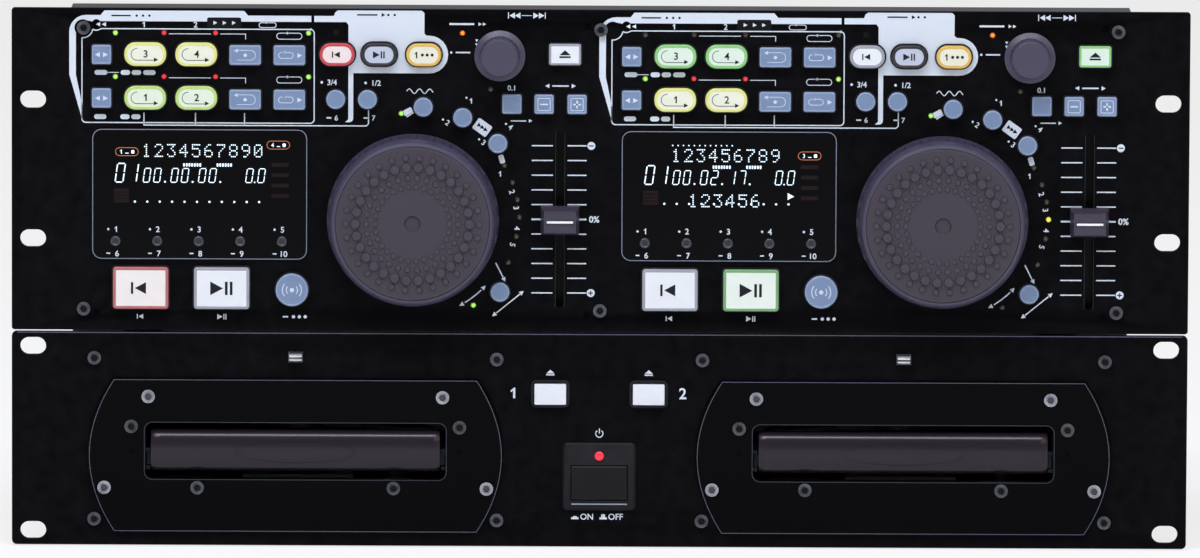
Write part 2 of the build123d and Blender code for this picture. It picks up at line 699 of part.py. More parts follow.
with BuildPart() as drive_panel:
    with BuildSketch(front(PANEL_T)):
        with Locations(DRIVE_MID):
            RectangleRounded(PANEL_W, DRIVE_H, DRIVE_CORNER_R)
        with Locations(*DRIVE_SLOTS):
            SlotOverall(SLOT_L, SLOT_W, mode=Mode.SUBTRACT)
        with Locations(*bay_spots([(0, MOUTH_MID)])):
            RectangleRounded(MOUTH_W, MOUTH_H, MOUTH_CORNER, mode=Mode.SUBTRACT)
        with Locations(*drive_key_spots()):
            shape_of("open", WELL_GAP + DRIVE_KEY_RIM + TRIM_FIT, Mode.SUBTRACT)
        with Locations(BUTTON_MID):
            Rectangle(BUTTON_W + 2 * GAP, BUTTON_HIGH - BUTTON_LOW + 2 * GAP, mode=Mode.SUBTRACT)
        with Locations(*bay_spots(PANEL_SCREWS)):
            Circle(SCREW_HOLE_R, mode=Mode.SUBTRACT)
        with Locations((0, POWER_LAMP_Z)):
            Circle(POWER_LAMP_R + TRIM_FIT, mode=Mode.SUBTRACT)
    extrude(amount=PANEL_T)
save(drive_panel, "drive_panel")

# Raised bezel round each tray mouth, with bowed ends.
with BuildPart() as drive_bezels:
    bezel_mid_z = (BEZEL_TOP + BEZEL_LOW) / 2
    for bay in BAYS:
        with BuildSketch(front(0, bay)):
            with BuildLine():
                Line((-BEZEL_TOP_HALF, BEZEL_TOP), (BEZEL_TOP_HALF, BEZEL_TOP))
                Line((BEZEL_LOW_HALF, BEZEL_LOW), (-BEZEL_LOW_HALF, BEZEL_LOW))
                for side in (-1, 1):
                    ThreePointArc(
                        (side * BEZEL_TOP_HALF, BEZEL_TOP),
                        (side * BEZEL_MID_HALF, bezel_mid_z),
                        (side * BEZEL_LOW_HALF, BEZEL_LOW),
                    )
            make_face()
        extrude(amount=BEZEL_T)
    chamfer(drive_bezels.faces().sort_by(Axis.Y)[:2].edges(), BEZEL_EDGE)
    with BuildSketch(front(0)):
        with Locations(*bay_spots([(0, MOUTH_MID)])):
            RectangleRounded(MOUTH_W, MOUTH_H, MOUTH_CORNER)
        with Locations(*bay_spots(BEZEL_SCREWS + BRIGHT_SCREWS)):
            Circle(SCREW_HOLE_R)
    extrude(amount=BEZEL_T, mode=Mode.SUBTRACT)
    with BuildSketch(front(-BEZEL_T)):
        with Locations(*bay_spots(BEZEL_BUMPS)):
            Circle(0.9)
    extrude(amount=0.5, taper=30)
save(drive_bezels, "drive_bezels")


# Screws: socket heads on the panels and bezels, and bright ones on the bezels.
def add_screws(places, seat, grip):
    """Socket-headed screws whose heads sit at one depth and whose shanks grip below."""
    with BuildSketch(front(seat)) as head:
        with Locations(*places):
            Circle(SCREW_HEAD_R)
    extrude(head.sketch, amount=SCREW_HEAD_T)
    with BuildSketch(front(seat)) as shank:
        with Locations(*places):
            Circle(SCREW_SHANK_R)
    extrude(shank.sketch, amount=-grip)
    with BuildSketch(front(seat - SCREW_HEAD_T)) as socket:
        with Locations(*places):
            RegularPolygon(SOCKET_ACROSS / 2, 6, major_radius=False)
    extrude(socket.sketch, amount=-SCREW_HEAD_T * 0.7, mode=Mode.SUBTRACT)


with BuildPart() as black_screws:
    add_screws(CONTROLLER_SCREWS, 0, PANEL_T)
    add_screws(bay_spots(PANEL_SCREWS), 0, PANEL_T)
    add_screws(bay_spots(BEZEL_SCREWS), -BEZEL_T, BEZEL_T)
save(black_screws, "black_screws")

with BuildPart() as bright_screws:
    add_screws(bay_spots(BRIGHT_SCREWS), -BEZEL_T, BEZEL_T)
    with BuildSketch(front(0)):
        with Locations(*bay_spots([CLIP_PLACE])):
            Rectangle(CLIP_W, CLIP_H)
    extrude(amount=1.2)
    with BuildSketch(front(-1.2)):
        with Locations(*bay_spots([CLIP_PLACE])):
            Circle(CLIP_H / 2 - 0.3)
    extrude(amount=1.0)
save(bright_screws, "bright_screws")

# Surrounds of the power button and of the two tray keys, with the power lamp.
with BuildPart() as drive_key_frames:
    with BuildSketch(front(0)):
        with Locations(POWER_MID):
            RectangleRounded(POWER_W, POWER_HIGH - POWER_LOW, POWER_CORNER)
        with Locations(BUTTON_MID):
            Rectangle(BUTTON_W + 2 * GAP, BUTTON_HIGH - BUTTON_LOW + 2 * GAP, mode=Mode.SUBTRACT)
        with Locations((0, POWER_LAMP_Z)):
            Circle(POWER_LAMP_R + TRIM_FIT, mode=Mode.SUBTRACT)
    extrude(amount=POWER_PROUD)
    chamfer(drive_key_frames.faces().sort_by(Axis.Y)[0].outer_wire().edges(), 0.8)
    with BuildSketch(front(PANEL_T)):
        with Locations(*drive_key_spots()):
            shape_of("open", WELL_GAP + DRIVE_KEY_RIM)
            shape_of("open", WELL_GAP, Mode.SUBTRACT)
    extrude(amount=PANEL_T + RIM_PROUD)
    with BuildSketch(front(PANEL_T)):
        with Locations((0, POWER_LAMP_Z)):
            Circle(POWER_LAMP_R)
    extrude(amount=PANEL_T + POWER_PROUD + 0.6)
save(drive_key_frames, "drive_key_frames")

# Case: a base with low sides and a rear wall, and a cover with full sides.
BASE_FLANGE_H = 22.0
COVER_SIDE_LOW = 1.6
BASE_W = DRIVE_CASE_W - 2 * SHEET_T - 2 * TRIM_FIT
CASE_BACK = PANEL_T + DRIVE_CASE_DEPTH
INLET_X = -150.0
INLET_Z = 45.0
INLET_W = 27.0
INLET_H = 20.0
INLET_FLANGE_W = 50.0
INLET_FLANGE_H = 24.0
AUDIO_JACKS = [(x, z) for x in (60.0, 78.0, 120.0, 138.0) for z in (34.0, 56.0)]
JACK_R = 4.2
JACK_HOLE_R = 1.6
LINK_SOCKETS = [(0.0, 45.0), (20.0, 45.0)]
LINK_R = 6.8
with BuildPart() as drive_base:
    with BuildSketch(Plane.XY):
        with Locations((0, BACK_Y + DRIVE_CASE_DEPTH / 2)):
            Rectangle(BASE_W, DRIVE_CASE_DEPTH)
    extrude(amount=SHEET_T)
    with BuildSketch(Plane.XY.offset(SHEET_T)):
        with Locations((0, BACK_Y + DRIVE_CASE_DEPTH / 2)):
            with GridLocations(BASE_W - SHEET_T, 1, 2, 1):
                Rectangle(SHEET_T, DRIVE_CASE_DEPTH)
    extrude(amount=BASE_FLANGE_H - SHEET_T)
    with BuildSketch(front(CASE_BACK)):
        with Locations((0, (DRIVE_TOP - SHEET_T - TRIM_FIT) / 2)):
            Rectangle(BASE_W, DRIVE_TOP - SHEET_T - TRIM_FIT)
        with Locations((INLET_X, INLET_Z)):
            Rectangle(INLET_W + 2 * TRIM_FIT, INLET_H + 2 * TRIM_FIT, mode=Mode.SUBTRACT)
        with Locations(*AUDIO_JACKS):
            Circle(JACK_R + TRIM_FIT, mode=Mode.SUBTRACT)
        with Locations(*LINK_SOCKETS):
            Circle(LINK_R + TRIM_FIT, mode=Mode.SUBTRACT)
    extrude(amount=SHEET_T)
save(drive_base, "drive_base")

with BuildPart() as drive_cover:
    with BuildSketch(front(CASE_BACK)):
        with Locations((0, (DRIVE_TOP + COVER_SIDE_LOW) / 2)):
            Rectangle(DRIVE_CASE_W, DRIVE_TOP - COVER_SIDE_LOW)
        with Locations((0, (DRIVE_TOP - SHEET_T) / 2)):
            Rectangle(DRIVE_CASE_W - 2 * SHEET_T, DRIVE_TOP - SHEET_T, mode=Mode.SUBTRACT)
    extrude(amount=DRIVE_CASE_DEPTH)
    with BuildSketch(Plane.XY.offset(DRIVE_TOP)):
        with Locations((0, BACK_Y + DRIVE_CASE_DEPTH * 0.72)):
            with GridLocations(8.0, 1, 24, 1):
                SlotOverall(40.0, 3.0, rotation=90)
    extrude(amount=-SHEET_T, mode=Mode.SUBTRACT)
save(drive_cover, "drive_cover")

# Sockets on the rear walls: audio jacks, link sockets, and the controller's link.
CONTROLLER_LINK = (0, CONTROLLER_Z + 20.0)
SOCKET_BODY = 12.0
with BuildPart() as rear_sockets:
    with BuildSketch(front(CASE_BACK)):
        with Locations(*AUDIO_JACKS):
            Circle(JACK_R)
        with Locations(*LINK_SOCKETS):
            Circle(LINK_R)
    extrude(amount=SOCKET_BODY)
    with BuildSketch(front(CASE_BACK)):
        with Locations(*AUDIO_JACKS):
            Circle(JACK_R)
    extrude(amount=-SOCKET_PROUD)
    with BuildSketch(front(CASE_BACK)):
        with Locations(*LINK_SOCKETS):
            Circle(LINK_R + 1.0)
    extrude(amount=-2.0)
    with BuildSketch(front(CASE_BACK + SOCKET_PROUD)):
        with Locations(*AUDIO_JACKS):
            Circle(JACK_HOLE_R)
    extrude(amount=SOCKET_PROUD - 1.0, mode=Mode.SUBTRACT)
    with BuildSketch(front(CASE_BACK + 2.0)):
        with Locations(*LINK_SOCKETS):
            Circle(LINK_R - 0.6)
            Circle(LINK_R - 2.0, mode=Mode.SUBTRACT)
    extrude(amount=4.0, mode=Mode.SUBTRACT)
    with BuildSketch(front(PANEL_T + CONTROLLER_CASE_DEPTH)):
        with Locations(CONTROLLER_LINK):
            Circle(LINK_R + 1.0)
            Circle(LINK_R - 2.0, mode=Mode.SUBTRACT)
    extrude(amount=-2.0)
save(rear_sockets, "rear_sockets")

# Mains inlet: a flanged shell with three pins in its cavity.
INLET_DEPTH = 24.0
CAVITY_W = 24.4
CAVITY_H = 16.8
CAVITY_DEPTH = 16.0
PIN_SPACING = 7.0
INLET_FLANGE_T = 2.0
with BuildPart() as mains_inlet:
    with BuildSketch(front(CASE_BACK + INLET_FLANGE_T)):
        with Locations((INLET_X, INLET_Z)):
            RectangleRounded(INLET_FLANGE_W, INLET_FLANGE_H, 4.0)
    extrude(amount=INLET_FLANGE_T)
    with BuildSketch(front(CASE_BACK)):
        with Locations((INLET_X, INLET_Z)):
            Rectangle(INLET_W, INLET_H)
    extrude(amount=INLET_DEPTH)
    with BuildSketch(front(CASE_BACK + INLET_FLANGE_T)):
        with Locations((INLET_X, INLET_Z)):
            RectangleRounded(CAVITY_W, CAVITY_H, 2.0)
    extrude(amount=CAVITY_DEPTH, mode=Mode.SUBTRACT)
    with BuildSketch(front(CASE_BACK + INLET_FLANGE_T - CAVITY_DEPTH)):
        with Locations((INLET_X, INLET_Z - 1.5)):
            Rectangle(2.0, 4.0)
        with Locations((INLET_X - PIN_SPACING, INLET_Z - 4.5), (INLET_X + PIN_SPACING, INLET_Z - 4.5)):
            Rectangle(2.0, 4.0)
    extrude(amount=-(CAVITY_DEPTH - 3.0))
save(mains_inlet, "mains_inlet")

# ================================================================ drive unit, inside
DISC_R = 60.0
POCKET_R = DISC_R + 0.4
POCKET_DEPTH = 2.6
SMALL_DISC_R = 40.4
SMALL_POCKET_DEPTH = 0.9
TRAY_W = 122.4
TRAY_LOW = 32.5
TRAY_TOP = 37.5
TRAY_START = 7.0
TRAY_L = 163.0
POCKET_AT = 72.0
SLOT_HALF = 25.0
TRAY_FRONT_W = 118.6
TRAY_FRONT_LOW = 30.8
TRAY_FRONT_HIGH = 47.9
TRAY_FRONT_PROUD = 3.5
TRAY_FRONT_EDGE = 2.4
TRAY_LIP_W = 46.0
TRAY_LIP_H = 9.0
TRAY_LIP_T = 0.4

GEAR_MODULE = 1.0
PINION_TEETH = 16
PINION_R = GEAR_MODULE * PINION_TEETH / 2
TOOTH_PITCH = math.pi * GEAR_MODULE
TOOTH_HALF = 0.55
TOOTH_BASE = 0.60
TOOTH_TIP = 0.34
PINION_T = 3.0
RACK_X = 50.0
RACK_BAR_W = 3.0
RACK_H = 3.0
PINION_Y = 24.0
RACK_START = 12.0
RACK_TEETH = 48
PINION_POST_R = 2.0
PINION_TOP = TRAY_LOW - GAP
PINION_LOW = PINION_TOP - PINION_T

RAIL_AIR = 0.4
WALL_T = 2.0
LIP_W = 1.8
LIP_T = 1.6
FRAME_BACK = 186.0
FRAME_FRONT = 6.0
FRAME_FLOOR = 12.0
FLOOR_T = 2.0
FRAME_TOP = 47.0
BRIDGE_T = 1.5
BRIDGE_L = 30.0
PUCK_R = 11.0
PUCK_FLANGE_R = 14.0
PUCK_LOW = 39.6

TRAVERSE_BACK = 162.0
TRAVERSE_FRONT = 50.0
TRAVERSE_W = 46.0
TRAVERSE_LOW = 21.0
TRAVERSE_T = 2.0
PIVOT_Y = 157.0
PIVOT_R = 2.0
PIVOT_Z = TRAVERSE_LOW + TRAVERSE_T / 2
ROD_R = 1.5
ROD_X = 17.0
ROD_Z = 26.0
ROD_BLOCK_L = 5.0
SLED_W = 41.0
SLED_L = 18.0
SLED_H = 6.0
SLED_AT = 97.0
SLED_TRAVEL = 34.0
LENS_R = 3.5
TURNTABLE_R = 13.5
TURNTABLE_LOW = 27.5
TURNTABLE_TOP = 30.6
HUB_R = 7.3
HUB_TOP = 32.4
SPINDLE_R = 1.5
SPINDLE_MOTOR_R = 11.0
SPINDLE_MOTOR_LOW = 16.5


def depth_y(depth):
    """Y of a point so many mm behind the panels' face."""
    return FACE_Y + depth


for number, bay in enumerate(BAYS, start=1):
    disc_at = (bay, depth_y(POCKET_AT))
    # The rack's pitch line touches the pinion's pitch circle.
    rack_face = bay + RACK_X
    pitch_x = rack_face - TOOTH_HALF
    pinion_at = (pitch_x - PINION_R, depth_y(PINION_Y))

    # Sliding tray with a disc pocket, a slot for the turntable and a rack below.
    with BuildPart() as tray:
        with BuildSketch(Plane.XY.offset(TRAY_LOW)):
            with Locations((bay, depth_y(TRAY_START + TRAY_L / 2))):
                Rectangle(TRAY_W, TRAY_L)
        extrude(amount=TRAY_TOP - TRAY_LOW)
        with BuildSketch(Plane.XY.offset(TRAY_TOP)):
            with Locations(disc_at):
                Circle(POCKET_R)
        extrude(amount=-POCKET_DEPTH, mode=Mode.SUBTRACT)
        with BuildSketch(Plane.XY.offset(TRAY_TOP - POCKET_DEPTH)):
            with Locations(disc_at):
                Circle(SMALL_DISC_R)
        extrude(amount=-SMALL_POCKET_DEPTH, mode=Mode.SUBTRACT)
        with BuildSketch(Plane.XY.offset(TRAY_LOW)):
            slot_l = TRAY_START + TRAY_L - POCKET_AT + 1.0
            with Locations(disc_at):
                Circle(SLOT_HALF)
            with Locations((bay, depth_y(POCKET_AT + slot_l / 2))):
                Rectangle(2 * SLOT_HALF, slot_l)
        extrude(amount=TRAY_TOP - TRAY_LOW, mode=Mode.SUBTRACT)
        with BuildSketch(Plane.XY.offset(TRAY_LOW)):
            rack_l = RACK_TEETH * TOOTH_PITCH
            with Locations((rack_face + RACK_BAR_W / 2, depth_y(RACK_START + rack_l / 2))):
                Rectangle(RACK_BAR_W, rack_l)
            tooth_depths = [RACK_START + (tooth + 0.5) * TOOTH_PITCH for tooth in range(RACK_TEETH)]
            with Locations(*[(rack_face, depth_y(depth)) for depth in tooth_depths]):
                Polygon(
                    (RACK_BAR_W / 2, -TOOTH_BASE), (0, -TOOTH_BASE), (-2 * TOOTH_HALF, -TOOTH_TIP),
                    (-2 * TOOTH_HALF, TOOTH_TIP), (0, TOOTH_BASE), (RACK_BAR_W / 2, TOOTH_BASE),
                    align=None,
                )
        extrude(amount=-RACK_H)
    save(tray, f"tray_{number}")

    # Front of the tray, rounded, with a low oval in its middle.
    tray_front_mid = (bay, (TRAY_FRONT_LOW + TRAY_FRONT_HIGH) / 2)
    with BuildPart() as tray_front:
        with BuildSketch(front(TRAY_START)):
            with Locations(tray_front_mid):
                Rectangle(TRAY_FRONT_W, TRAY_FRONT_HIGH - TRAY_FRONT_LOW)
        extrude(amount=TRAY_START + TRAY_FRONT_PROUD)
        fillet(tray_front.faces().sort_by(Axis.Y)[0].edges(), TRAY_FRONT_EDGE)
        with BuildSketch(front(-TRAY_FRONT_PROUD)):
            with Locations(tray_front_mid):
                Ellipse(TRAY_LIP_W / 2, TRAY_LIP_H / 2)
        extrude(amount=TRAY_LIP_T)
    save(tray_front, f"tray_front_{number}")

    # Pinion that drives the rack, on a post of the loader's frame. A gap between
    # two of its teeth faces the rack where a rack tooth stands at rest.
    first_tooth = RACK_START + 0.5 * TOOTH_PITCH
    nearest = round((PINION_Y - first_tooth) / TOOTH_PITCH)
    tooth_offset = first_tooth + nearest * TOOTH_PITCH - PINION_Y
    with BuildPart() as tray_pinion:
        with BuildSketch(Plane.XY.offset(PINION_LOW)):
            first_turn = math.degrees(tooth_offset / PINION_R) + 180 / PINION_TEETH
            with Locations(pinion_at):
                Circle(PINION_R - TOOTH_HALF - GAP)
                with PolarLocations(PINION_R, PINION_TEETH, start_angle=first_turn):
                    Polygon(
                        (-TOOTH_HALF - 2 * GAP, -TOOTH_BASE), (TOOTH_HALF - GAP, -TOOTH_TIP),
                        (TOOTH_HALF - GAP, TOOTH_TIP), (-TOOTH_HALF - 2 * GAP, TOOTH_BASE),
                        align=None,
                    )
            with Locations(pinion_at):
                Circle(PINION_POST_R + RUN_FIT, mode=Mode.SUBTRACT)
        extrude(amount=PINION_T)
    save(tray_pinion, f"tray_pinion_{number}")

    # Loader frame: floor, side walls with rails, pinion post, motor and pivot lugs.
    wall_in = TRAY_W / 2 + RAIL_AIR
    frame_l = FRAME_BACK - FRAME_FRONT
    frame_mid = depth_y((FRAME_FRONT + FRAME_BACK) / 2)
    with BuildPart() as loader_frame:
        with BuildSketch(Plane.XY.offset(FRAME_FLOOR)):
            with Locations((bay, frame_mid)):
                Rectangle(2 * (wall_in + WALL_T), frame_l)
        extrude(amount=FLOOR_T)
        with BuildSketch(Plane.XY.offset(SHEET_T)):
            with Locations((bay, frame_mid)):
                with GridLocations(2 * wall_in + WALL_T, 1, 2, 1):
                    Rectangle(WALL_T, frame_l)
        extrude(amount=FRAME_TOP - SHEET_T)
        for rail_z in (TRAY_LOW - GAP - LIP_T, TRAY_TOP + GAP):
            with BuildSketch(Plane.XY.offset(rail_z)):
                with Locations((bay, frame_mid)):
                    with GridLocations(2 * wall_in - LIP_W, 1, 2, 1):
                        Rectangle(LIP_W, frame_l)
            extrude(amount=LIP_T)
        with BuildSketch(Plane.XY.offset(FRAME_FLOOR + FLOOR_T)):
            with Locations(pinion_at):
                Circle(PINION_POST_R + 2.0)
        extrude(amount=PINION_LOW - GAP - FRAME_FLOOR - FLOOR_T)
        with BuildSketch(Plane.XY.offset(PINION_LOW - GAP)):
            with Locations(pinion_at):
                Circle(PINION_POST_R)
        extrude(amount=PINION_T + GAP)
        with BuildSketch(Plane.XY.offset(FRAME_FLOOR + FLOOR_T)):
            with Locations((bay, depth_y(PIVOT_Y))):
                with GridLocations(TRAVERSE_W + 2 * GAP + 4.0, 1, 2, 1):
                    Rectangle(4.0, 8.0)
            with Locations((bay - 44.0, depth_y(PINION_Y + 4))):
                Rectangle(20.0, 12.0)
        extrude(amount=PIVOT_Z + 4.0 - FRAME_FLOOR - FLOOR_T)
        with BuildSketch(Plane(origin=(bay, depth_y(PIVOT_Y), PIVOT_Z), x_dir=(0, 1, 0), z_dir=(1, 0, 0))):
            Circle(PIVOT_R + RUN_FIT)
        extrude(amount=TRAVERSE_W, both=True, mode=Mode.SUBTRACT)
        with BuildSketch(Plane.XY.offset(FRAME_FLOOR)):
            with Locations(disc_at):
                Circle(SPINDLE_MOTOR_R + 3.0)
        extrude(amount=FLOOR_T, mode=Mode.SUBTRACT)
    save(loader_frame, f"loader_frame_{number}")

    # Bridge over the tray with the puck that clamps a disc.
    with BuildPart() as clamp_bridge:
        with BuildSketch(Plane.XY.offset(FRAME_TOP)):
            with Locations(disc_at):
                Rectangle(2 * (wall_in + WALL_T), BRIDGE_L)
                Circle(PUCK_R + GAP, mode=Mode.SUBTRACT)
        extrude(amount=BRIDGE_T)
        with BuildSketch(Plane.XY.offset(PUCK_LOW)):
            with Locations(disc_at):
                Circle(PUCK_R)
        extrude(amount=FRAME_TOP + BRIDGE_T + SEAT - PUCK_LOW)
        with BuildSketch(Plane.XY.offset(FRAME_TOP + BRIDGE_T + SEAT)):
            with Locations(disc_at):
                Circle(PUCK_FLANGE_R)
        extrude(amount=1.5)
    save(clamp_bridge, f"clamp_bridge_{number}")

    # Traverse: it tilts up on its rear pins and carries the turntable and pickup.
    with BuildPart() as traverse:
        window_l = SLED_L + SLED_TRAVEL + 2.0
        sled_mid = SLED_AT + SLED_TRAVEL / 2
        with BuildSketch(Plane.XY.offset(TRAVERSE_LOW)):
            with Locations((bay, depth_y((TRAVERSE_FRONT + TRAVERSE_BACK) / 2))):
                Rectangle(TRAVERSE_W, TRAVERSE_BACK - TRAVERSE_FRONT)
            with Locations((bay, depth_y(sled_mid))):
                Rectangle(24.0, window_l, mode=Mode.SUBTRACT)
        extrude(amount=TRAVERSE_T)
        with BuildSketch(Plane.XY.offset(TRAVERSE_LOW + TRAVERSE_T)):
            for end in (-1, 1):
                with Locations((bay, depth_y(sled_mid + end * (window_l + ROD_BLOCK_L) / 2))):
                    with GridLocations(2 * ROD_X, 1, 2, 1):
                        Rectangle(6.0, ROD_BLOCK_L)
        extrude(amount=ROD_Z + 2.5 - TRAVERSE_LOW - TRAVERSE_T)
        with BuildSketch(Plane(origin=(bay, depth_y(sled_mid), ROD_Z), x_dir=(1, 0, 0), z_dir=(0, -1, 0))):
            with GridLocations(2 * ROD_X, 1, 2, 1):
                Circle(ROD_R)
        extrude(amount=window_l / 2 + ROD_BLOCK_L / 2, both=True)
        with BuildSketch(Plane(origin=(bay, depth_y(PIVOT_Y), PIVOT_Z), x_dir=(0, 1, 0), z_dir=(1, 0, 0))):
            Circle(PIVOT_R)
        extrude(amount=TRAVERSE_W / 2 + GAP + 4.0, both=True)
        with BuildSketch(Plane.XY.offset(TRAVERSE_LOW)):
            with Locations(disc_at):
                Circle(SPINDLE_MOTOR_R)
        extrude(amount=-(TRAVERSE_LOW - SPINDLE_MOTOR_LOW))
        with BuildSketch(Plane.XY.offset(TRAVERSE_LOW + TRAVERSE_T)):
            with Locations(disc_at):
                Circle(SPINDLE_R + RUN_FIT)
        extrude(amount=-(TRAVERSE_LOW + TRAVERSE_T - SPINDLE_MOTOR_LOW - 1.0), mode=Mode.SUBTRACT)
    save(traverse, f"traverse_{number}")

    # Turntable on its spindle.
    with BuildPart() as turntable:
        with BuildSketch(Plane.XY.offset(SPINDLE_MOTOR_LOW + 1.0 + GAP)):
            with Locations(disc_at):
                Circle(SPINDLE_R)
        extrude(amount=TURNTABLE_LOW - SPINDLE_MOTOR_LOW - 1.0 - GAP)
        with BuildSketch(Plane.XY.offset(TURNTABLE_LOW)):
            with Locations(disc_at):
                Circle(TURNTABLE_R)
        extrude(amount=TURNTABLE_TOP - TURNTABLE_LOW)
        with BuildSketch(Plane.XY.offset(TURNTABLE_TOP)):
            with Locations(disc_at):
                Circle(HUB_R)
        extrude(amount=HUB_TOP - TURNTABLE_TOP, taper=15)
    save(turntable, f"turntable_{number}")

    # Pickup sled on the traverse's two rods, with its lens.
    with BuildPart() as pickup:
        with BuildSketch(Plane.XY.offset(ROD_Z - SLED_H / 2)):
            with Locations((bay, depth_y(SLED_AT))):
                Rectangle(SLED_W, SLED_L)
        extrude(amount=SLED_H)
        with BuildSketch(Plane.XY.offset(ROD_Z + SLED_H / 2)):
            with Locations((bay, depth_y(SLED_AT))):
                Circle(LENS_R)
        extrude(amount=1.5)
        with BuildSketch(Plane(origin=(bay, depth_y(SLED_AT), ROD_Z), x_dir=(1, 0, 0), z_dir=(0, -1, 0))):
            with GridLocations(2 * ROD_X, 1, 2, 1):
                Circle(ROD_R + RUN_FIT)
        extrude(amount=SLED_L, both=True, mode=Mode.SUBTRACT)
    save(pickup, f"pickup_{number}")

# Power button, and the two tray keys.
BUTTON_FLANGE = 1.2
with BuildPart() as power_button:
    with BuildSketch(front(PANEL_T + SEAT + FLANGE_T)):
        with Locations(BUTTON_MID):
            Rectangle(BUTTON_W + 2 * BUTTON_FLANGE, BUTTON_HIGH - BUTTON_LOW + 2 * BUTTON_FLANGE)
    extrude(amount=FLANGE_T)
    with BuildSketch(front(PANEL_T + SEAT)):
        with Locations(BUTTON_MID):
            Rectangle(BUTTON_W, BUTTON_HIGH - BUTTON_LOW)
    extrude(amount=PANEL_T + SEAT + BUTTON_PROUD)
    fillet(power_button.faces().sort_by(Axis.Y)[0].edges(), 0.8)
save(power_button, "power_button")

for number, key_at in enumerate(drive_key_spots(), start=1):
    with BuildPart() as drive_open_key:
        with BuildSketch(front(PANEL_T + SEAT + FLANGE_T)):
            with Locations(key_at):
                shape_of("open", FLANGE_W)
        extrude(amount=FLANGE_T)
        with BuildSketch(front(PANEL_T + SEAT)):
            with Locations(key_at):
                shape_of("open")
        extrude(amount=PANEL_T + SEAT + KEY_PROUD)
        fillet(drive_open_key.faces().sort_by(Axis.Y)[0].edges(), KEY_EDGE)
    save(drive_open_key, f"drive_open_key_{number}")

# Boards: a front switch board behind the keys, and the main board at the rear.
SWITCH_BOARD_FRONT = PANEL_T + SEAT + FLANGE_T + BUTTON_TRAVEL + GAP
SWITCH_BOARD_W = 78.0
MAIN_BOARD_W = 400.0
MAIN_BOARD_FRONT = 196.0
MAIN_BOARD_BACK = 238.0
MAIN_BOARD_LOW = 8.0
with BuildPart() as main_board:
    with BuildSketch(front(SWITCH_BOARD_FRONT + BOARD_T)):
        with Locations((0, 42.0)):
            Rectangle(SWITCH_BOARD_W, 64.0)
    extrude(amount=BOARD_T)
    with BuildSketch(front(SWITCH_BOARD_FRONT)):
        with Locations((-36.0, 12.0), (36.0, 12.0), (-36.0, 71.0), (36.0, 71.0)):
            Circle(STANDOFF_R)
    extrude(amount=SWITCH_BOARD_FRONT - PANEL_T)
    with BuildSketch(front(SWITCH_BOARD_FRONT)):
        with Locations(*drive_key_spots()):
            Circle(SWITCH_R)
    extrude(amount=BUTTON_TRAVEL - DRIVE_KEY_TRAVEL)
    board_mid = depth_y((MAIN_BOARD_FRONT + MAIN_BOARD_BACK) / 2)
    with BuildSketch(Plane.XY.offset(MAIN_BOARD_LOW)):
        with Locations((0, board_mid)):
            Rectangle(MAIN_BOARD_W, MAIN_BOARD_BACK - MAIN_BOARD_FRONT)
    extrude(amount=BOARD_T)
    with BuildSketch(Plane.XY.offset(SHEET_T)):
        with Locations((0, board_mid)):
            with GridLocations(126.0, 32.0, 4, 2):
                Circle(STANDOFF_R)
    extrude(amount=MAIN_BOARD_LOW - SHEET_T)
    with BuildSketch(Plane.XY.offset(MAIN_BOARD_LOW + BOARD_T)):
        with Locations((0, board_mid)):
            with GridLocations(70.0, 1, 5, 1):
                Rectangle(18.0, 14.0)
    extrude(amount=2.6)
save(main_board, "main_board")

# Power supply between the two loaders.
SUPPLY_FRONT = 40.0
SUPPLY_BACK = 186.0
SUPPLY_W = 96.0
with BuildPart() as power_supply:
    supply_mid = depth_y((SUPPLY_FRONT + SUPPLY_BACK) / 2)
    with BuildSketch(Plane.XY.offset(MAIN_BOARD_LOW)):
        with Locations((0, supply_mid)):
            Rectangle(SUPPLY_W, SUPPLY_BACK - SUPPLY_FRONT)
    extrude(amount=BOARD_T)
    with BuildSketch(Plane.XY.offset(SHEET_T)):
        with Locations((0, supply_mid)):
            with GridLocations(SUPPLY_W - 10, SUPPLY_BACK - SUPPLY_FRONT - 10, 2, 2):
                Circle(STANDOFF_R)
    extrude(amount=MAIN_BOARD_LOW - SHEET_T)
    with BuildSketch(Plane.XY.offset(MAIN_BOARD_LOW + BOARD_T)):
        with Locations((0, depth_y(SUPPLY_BACK - 40))):
            Rectangle(60.0, 50.0)
    extrude(amount=44.0)
    with BuildSketch(Plane.XY.offset(MAIN_BOARD_LOW + BOARD_T)):
        with Locations((0, depth_y(SUPPLY_FRONT + 34))):
            with GridLocations(26.0, 30.0, 3, 2):
                Circle(9.0)
    extrude(amount=30.0)
save(power_supply, "power_supply")
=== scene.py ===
import math

import bmesh
import bpy
from mathutils import Matrix, Vector


